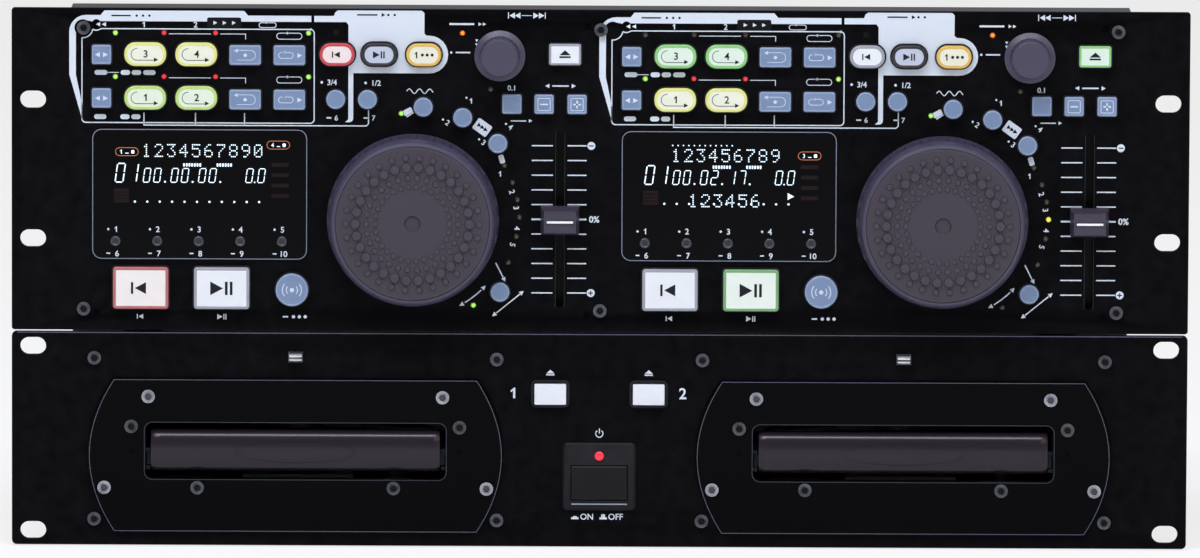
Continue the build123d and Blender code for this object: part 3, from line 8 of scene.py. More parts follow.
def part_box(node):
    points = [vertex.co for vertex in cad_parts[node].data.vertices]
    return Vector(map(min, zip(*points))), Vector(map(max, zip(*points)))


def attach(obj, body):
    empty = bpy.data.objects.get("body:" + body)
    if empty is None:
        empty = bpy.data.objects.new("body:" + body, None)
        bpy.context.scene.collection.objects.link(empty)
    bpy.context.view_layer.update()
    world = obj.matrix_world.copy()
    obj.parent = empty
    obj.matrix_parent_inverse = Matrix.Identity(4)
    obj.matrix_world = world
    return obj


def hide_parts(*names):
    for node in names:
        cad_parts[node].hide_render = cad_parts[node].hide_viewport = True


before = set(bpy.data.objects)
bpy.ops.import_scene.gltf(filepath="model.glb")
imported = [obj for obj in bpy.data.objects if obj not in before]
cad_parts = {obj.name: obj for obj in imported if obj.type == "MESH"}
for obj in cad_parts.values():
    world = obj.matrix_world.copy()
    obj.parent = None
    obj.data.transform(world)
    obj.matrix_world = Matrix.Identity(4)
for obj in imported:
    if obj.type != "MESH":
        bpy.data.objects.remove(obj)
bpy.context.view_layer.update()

bl_info = {
    "name": "Rack disc player finish",
    "version": (1, 0, 0),
    "blender": (4, 5, 0),
    "location": "View3D > Sidebar > Disc player",
    "description": "Finishes the controls, displays and panels of a rack disc player",
    "category": "Object",
}

# ------------------------------------------------------------------ places, from the frame
MM = 0.001
UNIT = "unit"
PANEL_LOW, PANEL_HIGH = (Vector(corner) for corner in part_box("controller_panel"))
DRIVE_LOW, DRIVE_HIGH = (Vector(corner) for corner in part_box("drive_panel"))
FACE_Y = PANEL_LOW.y
INK_LIFT = 0.06 * MM
DECK_HALF_PITCH = 108.5 * MM
BAY_HALF_PITCH = 124.8 * MM
DECKS = (-DECK_HALF_PITCH, DECK_HALF_PITCH)
BAYS = (-BAY_HALF_PITCH, BAY_HALF_PITCH)
SIDES = (1, 2)
# Width of panel that one pixel of the photograph shows, and the photograph's width.
PIXEL_MM = 0.4102
PHOTO_PIXELS = 1200


def place(dx, h):
    """Place on a deck: mm from the deck's middle line and above the panel's lower edge."""
    return (dx * MM, PANEL_LOW.z + h * MM)


def middle_of(low, high):
    """Middle of a box, across and up."""
    return ((low.x + high.x) / 2, (low.z + high.z) / 2)


def linear(color):
    """Colour as it shows, turned to the linear values that the shaders take."""
    return tuple(c / 12.92 if c <= 0.04045 else ((c + 0.055) / 1.055) ** 2.4 for c in color)


# ------------------------------------------------------------------ shader groups
def new_group(name, inputs, outputs):
    """Empty shader group with float or colour sockets; a tuple default makes a colour."""
    group = bpy.data.node_groups.new(name, "ShaderNodeTree")
    for label, value in inputs:
        kind = "NodeSocketColor" if isinstance(value, tuple) else "NodeSocketFloat"
        socket = group.interface.new_socket(label, in_out="INPUT", socket_type=kind)
        socket.default_value = value
    for label, kind in outputs:
        group.interface.new_socket(label, in_out="OUTPUT", socket_type=kind)
    return group, group.nodes.new("NodeGroupInput"), group.nodes.new("NodeGroupOutput")


def link(tree, source, target):
    """Join two sockets."""
    tree.links.new(source, target)


def set_values(node, values):
    """Set a node's inputs by their labels."""
    for label, value in values.items():
        node.inputs[label].default_value = value


def math_node(tree, operation, first, second):
    """Math node fed by sockets or numbers."""
    node = tree.nodes.new("ShaderNodeMath")
    node.operation = operation
    for index, value in enumerate((first, second)):
        if isinstance(value, (int, float)):
            node.inputs[index].default_value = value
        else:
            link(tree, value, node.inputs[index])
    return node.outputs[0]


def noise_node(tree, values):
    """Noise laid out in the piece's own coordinates."""
    noise = tree.nodes.new("ShaderNodeTexNoise")
    set_values(noise, values)
    coordinates = tree.nodes.new("ShaderNodeTexCoord")
    link(tree, coordinates.outputs["Object"], noise.inputs["Vector"])
    return noise


def mix_node(tree, mask):
    """Mix of two colours by a mask."""
    mix = tree.nodes.new("ShaderNodeMix")
    mix.data_type = "RGBA"
    link(tree, mask, mix.inputs["Factor"])
    return mix


def build_grain_group():
    """Fine moulded or painted grain: a height, and a mottle between 0 and 1."""
    group, given, out = new_group(
        "surface_grain",
        [("Scale", 900.0), ("Mottle Scale", 40.0)],
        [("Height", "NodeSocketFloat"), ("Mottle", "NodeSocketFloat")],
    )
    for output, source, detail in (("Height", "Scale", 3.0), ("Mottle", "Mottle Scale", 4.0)):
        noise = noise_node(group, {"Detail": detail})
        link(group, given.outputs[source], noise.inputs["Scale"])
        link(group, noise.outputs["Fac"], out.inputs[output])
    return group


COLOR_AND_MASK = [("Color", "NodeSocketColor"), ("Mask", "NodeSocketFloat")]


def put_out(group, given, out, mask, mix):
    """Lay the mix's second colour over the base, and put out the colour and the mask."""
    link(group, given.outputs["Base"], mix.inputs["A"])
    link(group, mix.outputs["Result"], out.inputs["Color"])
    link(group, mask, out.inputs["Mask"])
    return group


def build_wear_and_highlight_group():
    """Rubbed edges and painted edge highlights: lighter where the surface turns outwards, broken
    up by noise.
    """
    group, given, out = new_group(
        "rubbed_edges_and_edge_highlights",
        [("Base", (0.1, 0.1, 0.1, 1.0)), ("Worn And Highlight", (0.4, 0.4, 0.4, 1.0)), ("Amount", 0.5)],
        COLOR_AND_MASK,
    )
    geometry = group.nodes.new("ShaderNodeNewGeometry")
    ramp = group.nodes.new("ShaderNodeValToRGB")
    ramp.color_ramp.elements[0].position = 0.52
    ramp.color_ramp.elements[1].position = 0.62
    link(group, geometry.outputs["Pointiness"], ramp.inputs["Fac"])
    noise = noise_node(group, {"Scale": 180.0})
    broken = math_node(group, "MULTIPLY", ramp.outputs["Color"], noise.outputs["Fac"])
    mask = math_node(group, "MULTIPLY", broken, given.outputs["Amount"])
    mix = mix_node(group, mask)
    link(group, given.outputs["Worn And Highlight"], mix.inputs["B"])
    return put_out(group, given, out, mask, mix)


def build_dust_group():
    """Sparse dust and fine smears: a colour lightened a little, and a mask."""
    group, given, out = new_group(
        "settled_dust", [("Base", (0.1, 0.1, 0.1, 1.0)), ("Amount", 0.05)], COLOR_AND_MASK,
    )
    noise = noise_node(group, {"Scale": 22.0, "Detail": 8.0})
    mask = math_node(group, "MULTIPLY", noise.outputs["Fac"], given.outputs["Amount"])
    mix = mix_node(group, mask)
    mix.inputs["B"].default_value = (0.45, 0.44, 0.42, 1.0)
    return put_out(group, given, out, mask, mix)


GROUPS = {
    "grain": build_grain_group(),
    "wear_and_highlight": build_wear_and_highlight_group(),
    "dust": build_dust_group(),
}


# ------------------------------------------------------------------ materials
def new_material(name, values):
    """Material with its node tree and its surface shader, whose inputs are set."""
    material = bpy.data.materials.new(name)
    material.use_nodes = True
    shader = material.node_tree.nodes["Principled BSDF"]
    set_values(shader, values)
    return material, material.node_tree, shader


def group_node(tree, kind, values):
    """Shader group of a kind, with its inputs set."""
    node = tree.nodes.new("ShaderNodeGroup")
    node.node_tree = GROUPS[kind]
    set_values(node, values)
    return node


def finish_material(
    name, color, roughness=0.4, metallic=0.0, grain=900.0, bump=0.04, worn_and_highlight=None, wear_and_highlight=0.3,
    dust=0.03, coat=0.0, mottle=0.12, specular=0.5,
):
    """Painted, moulded or plated surface with grain, rubbed edges and a little dust; the lighter
    edges also serve as a painted highlight, as on the plated screws.
    """
    material, tree, shader = new_material(name, {
        "Metallic": metallic, "Coat Weight": coat, "Coat Roughness": 0.08,
        "Specular IOR Level": specular,
    })
    worn_and_highlight = worn_and_highlight or [min(1.0, c * 1.8 + 0.04) for c in color]
    edges = group_node(
        tree, "wear_and_highlight", {"Base": (*color, 1.0), "Worn And Highlight": (*worn_and_highlight, 1.0), "Amount": wear_and_highlight},
    )
    dusty = group_node(tree, "dust", {"Amount": dust})
    link(tree, edges.outputs["Color"], dusty.inputs["Base"])
    link(tree, dusty.outputs["Color"], shader.inputs["Base Color"])
    grains = group_node(tree, "grain", {"Scale": grain})
    rough = math_node(tree, "MULTIPLY", grains.outputs["Mottle"], mottle)
    rough = math_node(tree, "ADD", rough, roughness - mottle / 2)
    link(tree, rough, shader.inputs["Roughness"])
    bumps = tree.nodes.new("ShaderNodeBump")
    set_values(bumps, {"Strength": bump, "Distance": 0.2 * MM})
    link(tree, grains.outputs["Height"], bumps.inputs["Height"])
    link(tree, bumps.outputs["Normal"], shader.inputs["Normal"])
    return material


def light_material(name, color, strength, spread=0.25):
    """Lit plastic: an even glow, a little brighter and darker in patches."""
    base = (*color, 1.0)
    material, tree, shader = new_material(name, {
        "Base Color": base, "Roughness": 0.3, "Emission Strength": strength,
    })
    grains = group_node(tree, "grain", {"Mottle Scale": 160.0})
    mix = mix_node(tree, grains.outputs["Mottle"])
    set_values(mix, {"A": base, "B": (*[c * (1 - spread) for c in color], 1.0)})
    link(tree, mix.outputs["Result"], shader.inputs["Emission Color"])
    return material


def print_material(name, color):
    """Screen print: flat, matt, the same all over."""
    return new_material(name, {
        "Base Color": (*linear(color), 1.0), "Roughness": 0.6, "Specular IOR Level": 0.2,
    })[0]


def dress(node, material):
    """Give a CAD node its finish."""
    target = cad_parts[node]
    target.data.materials.clear()
    target.data.materials.append(material)


# ------------------------------------------------------------------ mesh helpers
def mesh_piece(name, bm, materials, body, smooth_angle=None):
    """Turn a bmesh into a piece that rides on a body, with its finishes in its slots."""
    mesh = bpy.data.meshes.new(name)
    bm.to_mesh(mesh)
    bm.free()
    piece = bpy.data.objects.new(name, mesh)
    bpy.context.scene.collection.objects.link(piece)
    for material in materials:
        mesh.materials.append(material)
    if smooth_angle is not None:
        for polygon in mesh.polygons:
            polygon.use_smooth = True
        mesh.set_sharp_from_angle(angle=math.radians(smooth_angle))
    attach(piece, body)
    return piece


def rounded(center, width, height, corner, steps=6):
    """Points round a rounded rectangle, anticlockwise as the front sees it: (x, z)."""
    x, z = center
    points = []
    for turn, (sx, sz) in enumerate(((1, 1), (-1, 1), (-1, -1), (1, -1))):
        for step in range(steps + 1):
            angle = math.radians(90 * turn + 90 * step / steps)
            points.append((
                x + sx * (width / 2 - corner) + corner * math.cos(angle),
                z + sz * (height / 2 - corner) + corner * math.sin(angle),
            ))
    return points


def ring(center, radius, steps=32, turn=0.0):
    """Points round a circle: (x, z)."""
    return [
        (center[0] + radius * math.cos(2 * math.pi * k / steps + turn),
         center[1] + radius * math.sin(2 * math.pi * k / steps + turn))
        for k in range(steps)
    ]


def add_patch(bm, points, y):
    """Flat face through (x, z) points at one depth, turned to the front."""
    face = bm.faces.new([bm.verts.new((x, y, z)) for x, z in points])
    face.normal_update()
    if face.normal.y > 0:
        face.normal_flip()
    return face


def add_stroke(bm, points, width, y, closed=False):
    """Line of an even width with mitred corners, through (x, z) points."""
    path = [Vector(point) for point in points]
    count = len(path)
    sides = []
    for index, here in enumerate(path):
        before = path[index - 1] if closed or index else None
        after = path[(index + 1) % count] if closed or index < count - 1 else None
        inward = (here - before).normalized() if before is not None else None
        onward = (after - here).normalized() if after is not None else None
        inward = inward or onward
        onward = onward or inward
        along = (inward + onward).normalized()
        normal = Vector((-along.y, along.x))
        square = Vector((-inward.y, inward.x))
        reach = width / 2 / max(0.35, normal.dot(square))
        sides.append((here + normal * reach, here - normal * reach))
    last = count if closed else count - 1
    for index in range(last):
        (a, b), (c, d) = sides[index], sides[(index + 1) % count]
        add_patch(bm, [a, b, d, c], y)


def pull_out(bm, points, back, front_y):
    """Outline pulled forward from one depth to another: the front's corners and faces."""
    face = add_patch(bm, points, back)
    grown = bmesh.ops.extrude_face_region(bm, geom=[face])["geom"]
    verts = [item for item in grown if isinstance(item, bmesh.types.BMVert)]
    faces = [item for item in grown if isinstance(item, bmesh.types.BMFace)]
    bmesh.ops.translate(bm, verts=verts, vec=(0, front_y - back, 0))
    return verts, faces


def add_block(bm, points, back, front_y, bevel=0.0, segments=3):
    """Upright block on an outline, with a soft front edge."""
    verts = pull_out(bm, points, back, front_y)[0]
    front_edges = {
        edge for vert in verts for edge in vert.link_edges if all(v in verts for v in edge.verts)
    }
    if bevel:
        bmesh.ops.bevel(
            bm, geom=list(front_edges), offset=bevel, offset_type="OFFSET", segments=segments,
            profile=0.5, affect="EDGES", material=-1,
        )


# ------------------------------------------------------------------ sizes and places, mm
# Forms of the keys: width, height and corner.
KEY_FORMS = {
    "small": (7.8, 7.8, 0.8),
    "hot": (17.0, 9.6, 4.4),
    "wide": (12.8, 8.0, 0.9),
    "mode": (14.2, 9.2, 4.4),
    "open": (13.0, 8.6, 0.9),
    "cue": (22.6, 17.0, 1.2),
    "round": (7.7, 7.7, 3.84),
    "tap": (13.3, 13.3, 6.64),
    "menu": (4.0, 4.0, 1.99),
}
ROUND_FORMS = ("round", "tap", "menu")
# How far the keys stand out of the panel.
KEY_FRONT = 3.0
KEY_FRONTS = {"cue": 3.6, "tap": 3.4, "menu": 1.4}
# A cap lies this far outside its key, and its back stands this far off the panel.
CAP_SKIN = 0.05 * MM
CAP_LIFT = 0.02 * MM
CAP_BACK = 1.1 * MM
MENU_CAP_BACK = 0.44 * MM
CAP_SOFT_EDGE, CAP_SOFT_RISE = 0.28 * MM, 0.22 * MM
RIM_RISE = 0.06 * MM
PAD_EDGE, PAD_SINK = 0.14 * MM, 0.1 * MM
MENU_X, MENU_H = (-90.2, -73.1, -56.1, -39.1, -22.0), 36.8
BLUES = ("blue", "blue")
# Keys: body, form, look on each deck, mark, and places (dx, h).
KEYS = [
    ("square_keys", "small", BLUES, "dash", ((-95.9, 113.7), (-95.9, 95.8))),
    ("hot_start_keys", "hot", ("yellow", "green"), "3", ((-78.0, 113.9),)),
    ("hot_start_keys", "hot", ("yellow", "green"), "4", ((-57.1, 113.9),)),
    ("hot_start_keys", "hot", ("lime", "yellow"), "1", ((-78.0, 96.0),)),
    ("hot_start_keys", "hot", ("lime", "yellow"), "2", ((-57.1, 96.0),)),
    ("square_keys", "wide", BLUES, "half_loop", ((-37.1, 113.7), (-37.1, 95.4))),
    ("square_keys", "wide", BLUES, "loop_out", ((-19.0, 113.7), (-19.0, 95.4))),
    ("track_keys", "mode", ("red", "pale"), "cue", ((0.5, 114.1),)),
    ("track_keys", "mode", ("dark", "dark"), "play", ((17.7, 114.1),)),
    ("track_keys", "mode", ("amber", "amber"), "dots", ((36.0, 114.1),)),
    ("track_keys", "open", ("pale", "green"), "eject", ((93.8, 114.5),)),
    ("round_keys", "round", BLUES, None, (
        (0.0, 95.6), (13.0, 95.6), (35.8, 92.6), (52.0, 88.3), (66.4, 77.7), (67.5, 16.5),
    )),
    ("square_keys", "small", BLUES, None, ((72.1, 94.0),)),
    ("square_keys", "small", BLUES, "minus", ((85.3, 94.0),)),
    ("square_keys", "small", BLUES, "plus", ((98.8, 94.0),)),
    ("round_keys", "menu", ("black", "black"), None, [(x, MENU_H) for x in MENU_X]),
    ("cue_key_{}", "cue", ("rose", "pale"), "cue", ((-79.8, 17.7),)),
    ("play_key_{}", "cue", ("pale", "mint"), "play", ((-46.6, 17.7),)),
    ("tap_key_{}", "tap", BLUES, "tap", ((-17.8, 17.1),)),
]
# Rim and pad of each look, written as they show.
KEY_LOOKS = {
    "blue": ((0.52, 0.59, 0.71), (0.44, 0.52, 0.65)),
    "yellow": ((0.82, 0.82, 0.48), (0.85, 0.86, 0.78)),
    "green": ((0.50, 0.73, 0.44), (0.80, 0.86, 0.80)),
    "lime": ((0.68, 0.78, 0.44), (0.82, 0.86, 0.78)),
    "red": ((0.72, 0.22, 0.26), (0.87, 0.80, 0.80)),
    "rose": ((0.66, 0.36, 0.37), (0.87, 0.84, 0.83)),
    "pale": ((0.56, 0.57, 0.61), (0.84, 0.85, 0.87)),
    "dark": ((0.13, 0.10, 0.14), (0.72, 0.75, 0.82)),
    "amber": ((0.82, 0.66, 0.32), (0.85, 0.84, 0.76)),
    "mint": ((0.42, 0.60, 0.40), (0.84, 0.87, 0.83)),
    # The black menu keys' grey rim is a painted highlight: a light ring round their dark glossy
    # domes.
    "black": ((0.20, 0.20, 0.25), (0.01, 0.01, 0.02)),
}
LIT_LOOKS = ("yellow", "green", "lime", "red", "rose", "amber", "mint", "pale")
# Widths of the rims, mm.
RIM_WIDTHS = {
    "hot": 0.85, "mode": 0.85, "open": 0.48, "cue": 0.78, "small": 0.3, "wide": 0.3,
    "round": 0.3, "tap": 0.35, "menu": 0.4,
}

# Lamps: dx, h, colour when lit, lit on deck 1, lit on deck 2.
LAMPS = [
    (-90.3, 122.4, "green", True, False), (-90.3, 104.4, "green", True, True),
    (-70.4, 122.5, "red", True, False), (-49.3, 122.5, "red", True, False),
    (-70.4, 104.5, "red", True, True), (-49.3, 104.5, "red", True, True),
    (-11.2, 122.6, "green", True, False), (-11.2, 104.6, "green", True, True),
    (51.8, 122.9, "orange", True, True), (63.4, 99.8, "green", False, False),
    (26.8, 89.7, "green", True, True), (69.1, 68.4, "yellow", False, False),
    (72.4, 61.4, "yellow", False, False), (74.5, 54.3, "yellow", False, False),
    (75.3, 47.1, "yellow", False, True), (74.1, 39.2, "yellow", False, False),
    (70.9, 28.5, "yellow", False, False), (56.6, 10.8, "green", True, False),
]
LAMP_RADIUS = 1.15 * MM
POWER_LAMP_RADIUS, POWER_LAMP_H, POWER_LAMP_FLAT = 1.9 * MM, 37.8 * MM, 0.35
LAMP_COLORS = {
    "green": (0.60, 0.88, 0.34), "red": (0.80, 0.15, 0.21),
    "orange": (1.0, 0.50, 0.12), "yellow": (0.93, 0.92, 0.28),
}


# ------------------------------------------------------------------ what a user may change
def color_property(name, description, default):
    """Colour setting, kept as it shows."""
    return bpy.props.FloatVectorProperty(
        name=name, description=description, default=default, size=3, min=0.0, max=1.0,
        subtype="COLOR_GAMMA",
    )


class PaintSettings(bpy.types.PropertyGroup):
    """Colours of the paint, print and mouldings."""

    panel: color_property("Panel", "Black paint of both panels", (0.012, 0.011, 0.017))
    print_color: color_property("Print", "Pale grey print of the panel", (0.82, 0.85, 0.89))
    jog: color_property("Jog wheel", "Moulding of the jog wheels", (0.25, 0.23, 0.31))
    pad: color_property("Jog pad", "Rubber of the jog wheels' pads", (0.215, 0.185, 0.23))
    bezel: color_property("Bezel", "Gloss black of the bay surrounds", (0.012, 0.012, 0.018))
    segment: color_property("Segments", "Lit figures of the displays", (0.80, 0.87, 0.92))
    floor: color_property("Floor", "Studio floor", (0.97, 0.97, 0.97))


class GlowSettings(bpy.types.PropertyGroup):
    """Strengths of the lit pieces."""

    key_glow: bpy.props.FloatProperty(
        name="Key glow", description="Light given off by a lit key", default=0.12, min=0.0,
    )
    lamp_glow: bpy.props.FloatProperty(
        name="Lamp glow", description="Light given off by a lit lamp", default=1.1, min=0.0,
    )
    segment_glow: bpy.props.FloatProperty(
        name="Figure glow", description="Light given off by the displays", default=0.9, min=0.0,
    )


class CameraSettings(bpy.types.PropertyGroup):
    """Where the camera stands."""

    distance: bpy.props.FloatProperty(
        name="Distance", description="From the panels to the camera", default=5.5, unit="LENGTH",
    )
    elevation: bpy.props.FloatProperty(
        name="Elevation", description="How far the camera looks down", default=math.radians(6.5),
        unit="ROTATION",
    )
    roll: bpy.props.FloatProperty(
        name="Roll", description="Lean of the picture", default=math.radians(0.25),
        unit="ROTATION",
    )


# ------------------------------------------------------------------ print helpers
def paint_faces(bm, before, index):
    """Give the faces made since a count their material."""
    bm.faces.ensure_lookup_table()
    for face in bm.faces[before:]:
        face.material_index = index


# Height of a figure of the built-in letters, for a size of one.
FIGURE_TALL = 0.69


def add_text(bm, words, center, height, y, index, turn, thicken):
    """Plain figures or words as flat faces, centred on an (x, z) place."""
    curve = bpy.data.curves.new("words", "FONT")
    curve.body = words
    curve.size = height / FIGURE_TALL
    curve.align_x = "CENTER"
    curve.offset = thicken
    curve.resolution_u = 4
    holder = bpy.data.objects.new("words", curve)
    bpy.context.scene.collection.objects.link(holder)
    graph = bpy.context.evaluated_depsgraph_get()
    flat = bpy.data.meshes.new_from_object(holder.evaluated_get(graph))
    bpy.data.objects.remove(holder)
    bpy.data.curves.remove(curve)
    flat.transform(Matrix.Translation((0, -height / 2, 0)))
    flat.transform(Matrix.Rotation(turn, 4, "Z"))
    flat.transform(Matrix.Rotation(math.radians(90), 4, "X"))
    flat.transform(Matrix.Translation((center[0], y, center[1])))
    before = len(bm.faces)
    bm.from_mesh(flat)
    bpy.data.meshes.remove(flat)
    paint_faces(bm, before, index)


class Ink:
    """Flat print on one plane: shapes given in mm on a deck, with a pen material."""

    def __init__(self, bm, y, origin_x=0.0, origin_z=0.0, turn=0.0):
        self.bm, self.y, self.turn = bm, y, turn
        self.origin = Vector((origin_x, origin_z))

    def at(self, x, z):
        """Place in the scene of a place in mm."""
        c, s = math.cos(self.turn), math.sin(self.turn)
        return (
            self.origin.x + (x * c - z * s) * MM,
            self.origin.y + (x * s + z * c) * MM,
        )

    def shape(self, points, pen=0, lift=0.0):
        """Filled outline."""
        before = len(self.bm.faces)
        add_patch(self.bm, [self.at(*point) for point in points], self.y - lift)
        paint_faces(self.bm, before, pen)

    def line(self, points, width=0.35, pen=0, closed=False):
        """Line of an even width."""
        before = len(self.bm.faces)
        add_stroke(self.bm, [self.at(*point) for point in points], width * MM, self.y, closed)
        paint_faces(self.bm, before, pen)

    def box(self, left, low, right, high, corner=0.0, pen=0, lift=0.0):
        """Filled rectangle, its corners rounded."""
        middle = ((left + right) / 2, (low + high) / 2)
        corner = max(corner, 0.001)
        self.shape(rounded(middle, right - left, high - low, corner, 4), pen, lift)

    def frame(self, left, low, right, high, corner=1.0, width=0.35, pen=0):
        """Line round a rectangle."""
        middle = ((left + right) / 2, (low + high) / 2)
        outline = rounded(middle, right - left, high - low, corner, 4)
        self.line(outline, width, pen, True)

    def dot(self, x, z, radius, pen=0, lift=0.0):
        """Filled disc."""
        self.shape(ring((x, z), radius, 16), pen, lift)

    def arrow(self, x, z, size, turn=0.0, pen=0, lift=0.0):
        """Filled triangle that points along its turn, from its middle."""
        points = [
            (x + size * math.cos(turn + a), z + size * math.sin(turn + a))
            for a in (0.0, math.radians(125), math.radians(-125))
        ]
        self.shape(points, pen, lift)

    def words(self, text, x, z, height, pen=0, turn=0.0, thicken=0.05):
        """Plain figures; a lone 1 is drawn with its flag."""
        if text == "1":
            half, stem = height / 2, height * 0.2
            self.shape([
                (x - stem * 0.2, z - half), (x + stem * 0.8, z - half), (x + stem * 0.8, z + half),
                (x + stem * 0.1, z + half), (x - stem * 1.3, z + half * 0.45),
                (x - stem * 1.3, z + half * 0.12), (x - stem * 0.2, z + half * 0.42),
            ], pen)
            return
        add_text(
            self.bm, text, self.at(x, z), height * MM, self.y, pen, turn + self.turn, thicken * MM,
        )


def arc_points(x, z, radius, start, end, steps=10):
    """Points along an arc, its angles in degrees."""
    return [
        (x + radius * math.cos(math.radians(start + (end - start) * k / steps)),
         z + radius * math.sin(math.radians(start + (end - start) * k / steps)))
        for k in range(steps + 1)
    ]


def draw_play(ink, x, z, size, pen=0):
    """Play and pause sign."""
    tall = size * 0.62
    ink.shape([(x - size, z - tall), (x + size * 0.15, z), (x - size, z + tall)], pen)
    for left in (0.32, 0.76):
        ink.box(x + size * left, z - size * 0.6, x + size * (left + 0.24), z + size * 0.6, 0, pen)


def draw_cue(ink, x, z, size, pen=0):
    """Return-to-mark sign: a triangle that points back at an upright bar."""
    ink.box(x - size, z - size * 0.6, x - size * 0.76, z + size * 0.6, 0, pen)
    ink.shape([
        (x + size * 0.55, z - size * 0.62), (x - size * 0.6, z),
        (x + size * 0.55, z + size * 0.62),
    ], pen)


def draw_eject(ink, x, z, size, pen=0):
    """Tray sign: a triangle over a bar."""
    ink.shape([(x - size, z - size * 0.1), (x + size, z - size * 0.1), (x, z + size * 0.8)], pen)
    ink.box(x - size, z - size * 0.6, x + size, z - size * 0.28, 0, pen)


def draw_skip(ink, x, z, size):
    """Track signs: back to the left and on to the right, joined by a line."""
    tall = size * 0.75
    for side in (-1, 1):
        far = x + side * size * 4.2
        for step in (0, 1):
            tip = far - side * size * (0.1 + 1.3 * step)
            end = tip - side * size * 1.3
            ink.shape([(tip, z), (end, z + size * 0.72), (end, z - size * 0.72)])
        ink.box(min(far, far + side * 0.35), z - tall, max(far, far + side * 0.35), z + tall)
    ink.box(x - size * 1.2, z - 0.13, x + size * 1.2, z + 0.13)


def draw_loop(ink, x, z, wide, tall, pen=0):
    """Racetrack loop with an arrow."""
    r = tall / 2
    points = arc_points(x + wide / 2 - r, z, r, -90, 90)
    points += arc_points(x - wide / 2 + r, z, r, 90, 270)
    ink.line(points, 0.3, pen, True)
    ink.arrow(x - wide * 0.1, z + r, r * 0.62, math.pi, pen)


# ------------------------------------------------------------------ panel print
PRINT_PALE, PRINT_BLACK, PRINT_DIM = 0, 1, 2
# Black printed over the pale print, and pale printed over that.
OVER = (PRINT_BLACK, 0.02 * MM)
TOP_LIFT = 0.04 * MM
# Middle of the jog wheel on its deck, and the fader's scale.
WHEEL_X, WHEEL_H = 31.7, 46.1
SCALE_LOW, SCALE_HIGH, SCALE_LINES = 16.0, 76.7, 11


def print_block_graphics(ink):
    """Pale bands and fine outlines round the hot-start keys."""
    ink.shape(
        [(-10.1, 127.2), (-10.1, 129.7), (-36.0, 129.7), (-37.6, 131.6), (-94.8, 131.6),
         (-96.4, 129.7)]
        + arc_points(-102.3, 122.8, 6.9, 90, 180, 6)
        + [(-109.2, 105.2), (-103.8, 86.4), (-103.8, 92.4), (-106.5, 105.2)]
        + arc_points(-103.7, 124.5, 3.4, 216, 60, 8) + arc_points(-98.1, 126.1, 1.9, 150, 35, 5)
    )
    ink.shape(
        [(-8.9, 127.2), (-8.9, 129.7), (-0.9, 129.7), (-0.3, 131.2), (0.8, 132.0), (35.2, 132.0),
         (36.2, 131.0), (36.2, 122.6), (37.1, 121.8)]
        + arc_points(38.2, 114.0, 7.75, 90, -90, 12)
        + [(7.1, 106.25)] + arc_points(5.5, 87.6, 1.6, 0, -90, 4)
        + [(3.8, 86.0), (5.1, 87.2), (5.1, 126.0), (4.2, 127.2)]
    )
    outline = (
        [(-96.2, 124.1), (-10.5, 124.1)] + arc_points(-10.5, 122.5, 1.6, 90, 0, 4)
        + arc_points(-10.5, 87.1, 1.6, 0, -90, 4) + arc_points(-102.4, 87.1, 1.6, -90, -180, 4)
        + [(-104.0, 120.3)] + arc_points(-103.7, 124.5, 4.2, -82, -12, 5)
        + arc_points(-98.1, 126.1, 2.7, -120, -62, 3)
    )
    ink.line(outline, 0.45, PRINT_PALE, True)
    ink.line([(-78.6, 89.6), (-78.6, 84.5), (12.5, 84.5), (13.4, 85.4), (13.4, 91.0)], 0.45)
    for x in (-57.5, -37.4):
        ink.line([(x, 84.5), (x, 89.6)], 0.45)
    for h in (122.1, 104.0):
        ink.line([(-68.4, h), (-51.2, h)], 0.3)
        ink.line([(-47.4, h), (-37.0, h), (-37.0, h - 2.2)], 0.3)
    ink.box(-52.8, 124.4, -38.8, 128.9, 0.8, *OVER)
    for x in (-49.6, -45.8, -42.0):
        ink.arrow(x, 126.7, 1.0, 0.0, PRINT_PALE, TOP_LIFT)
    for h in (121.3, 103.3):
        draw_loop(ink, -19.1, h, 10.3, 2.5)
    for x, wide in ((-96.2, 5.3), (-86.2, 3.9), (-81.7, 3.9), (-76.4, 5.1)):
        ink.box(x - wide / 2, 105.1, x + wide / 2, 107.1, 1.0)
    ink.line([(-93.8, 106.1), (-88.9, 106.1)], 0.3)
    for x, wide in ((-96.5, 5.0), (-86.4, 3.8), (-81.9, 3.8)):
        ink.box(x - wide / 2, 86.9, x + wide / 2, 88.9, 1.0)


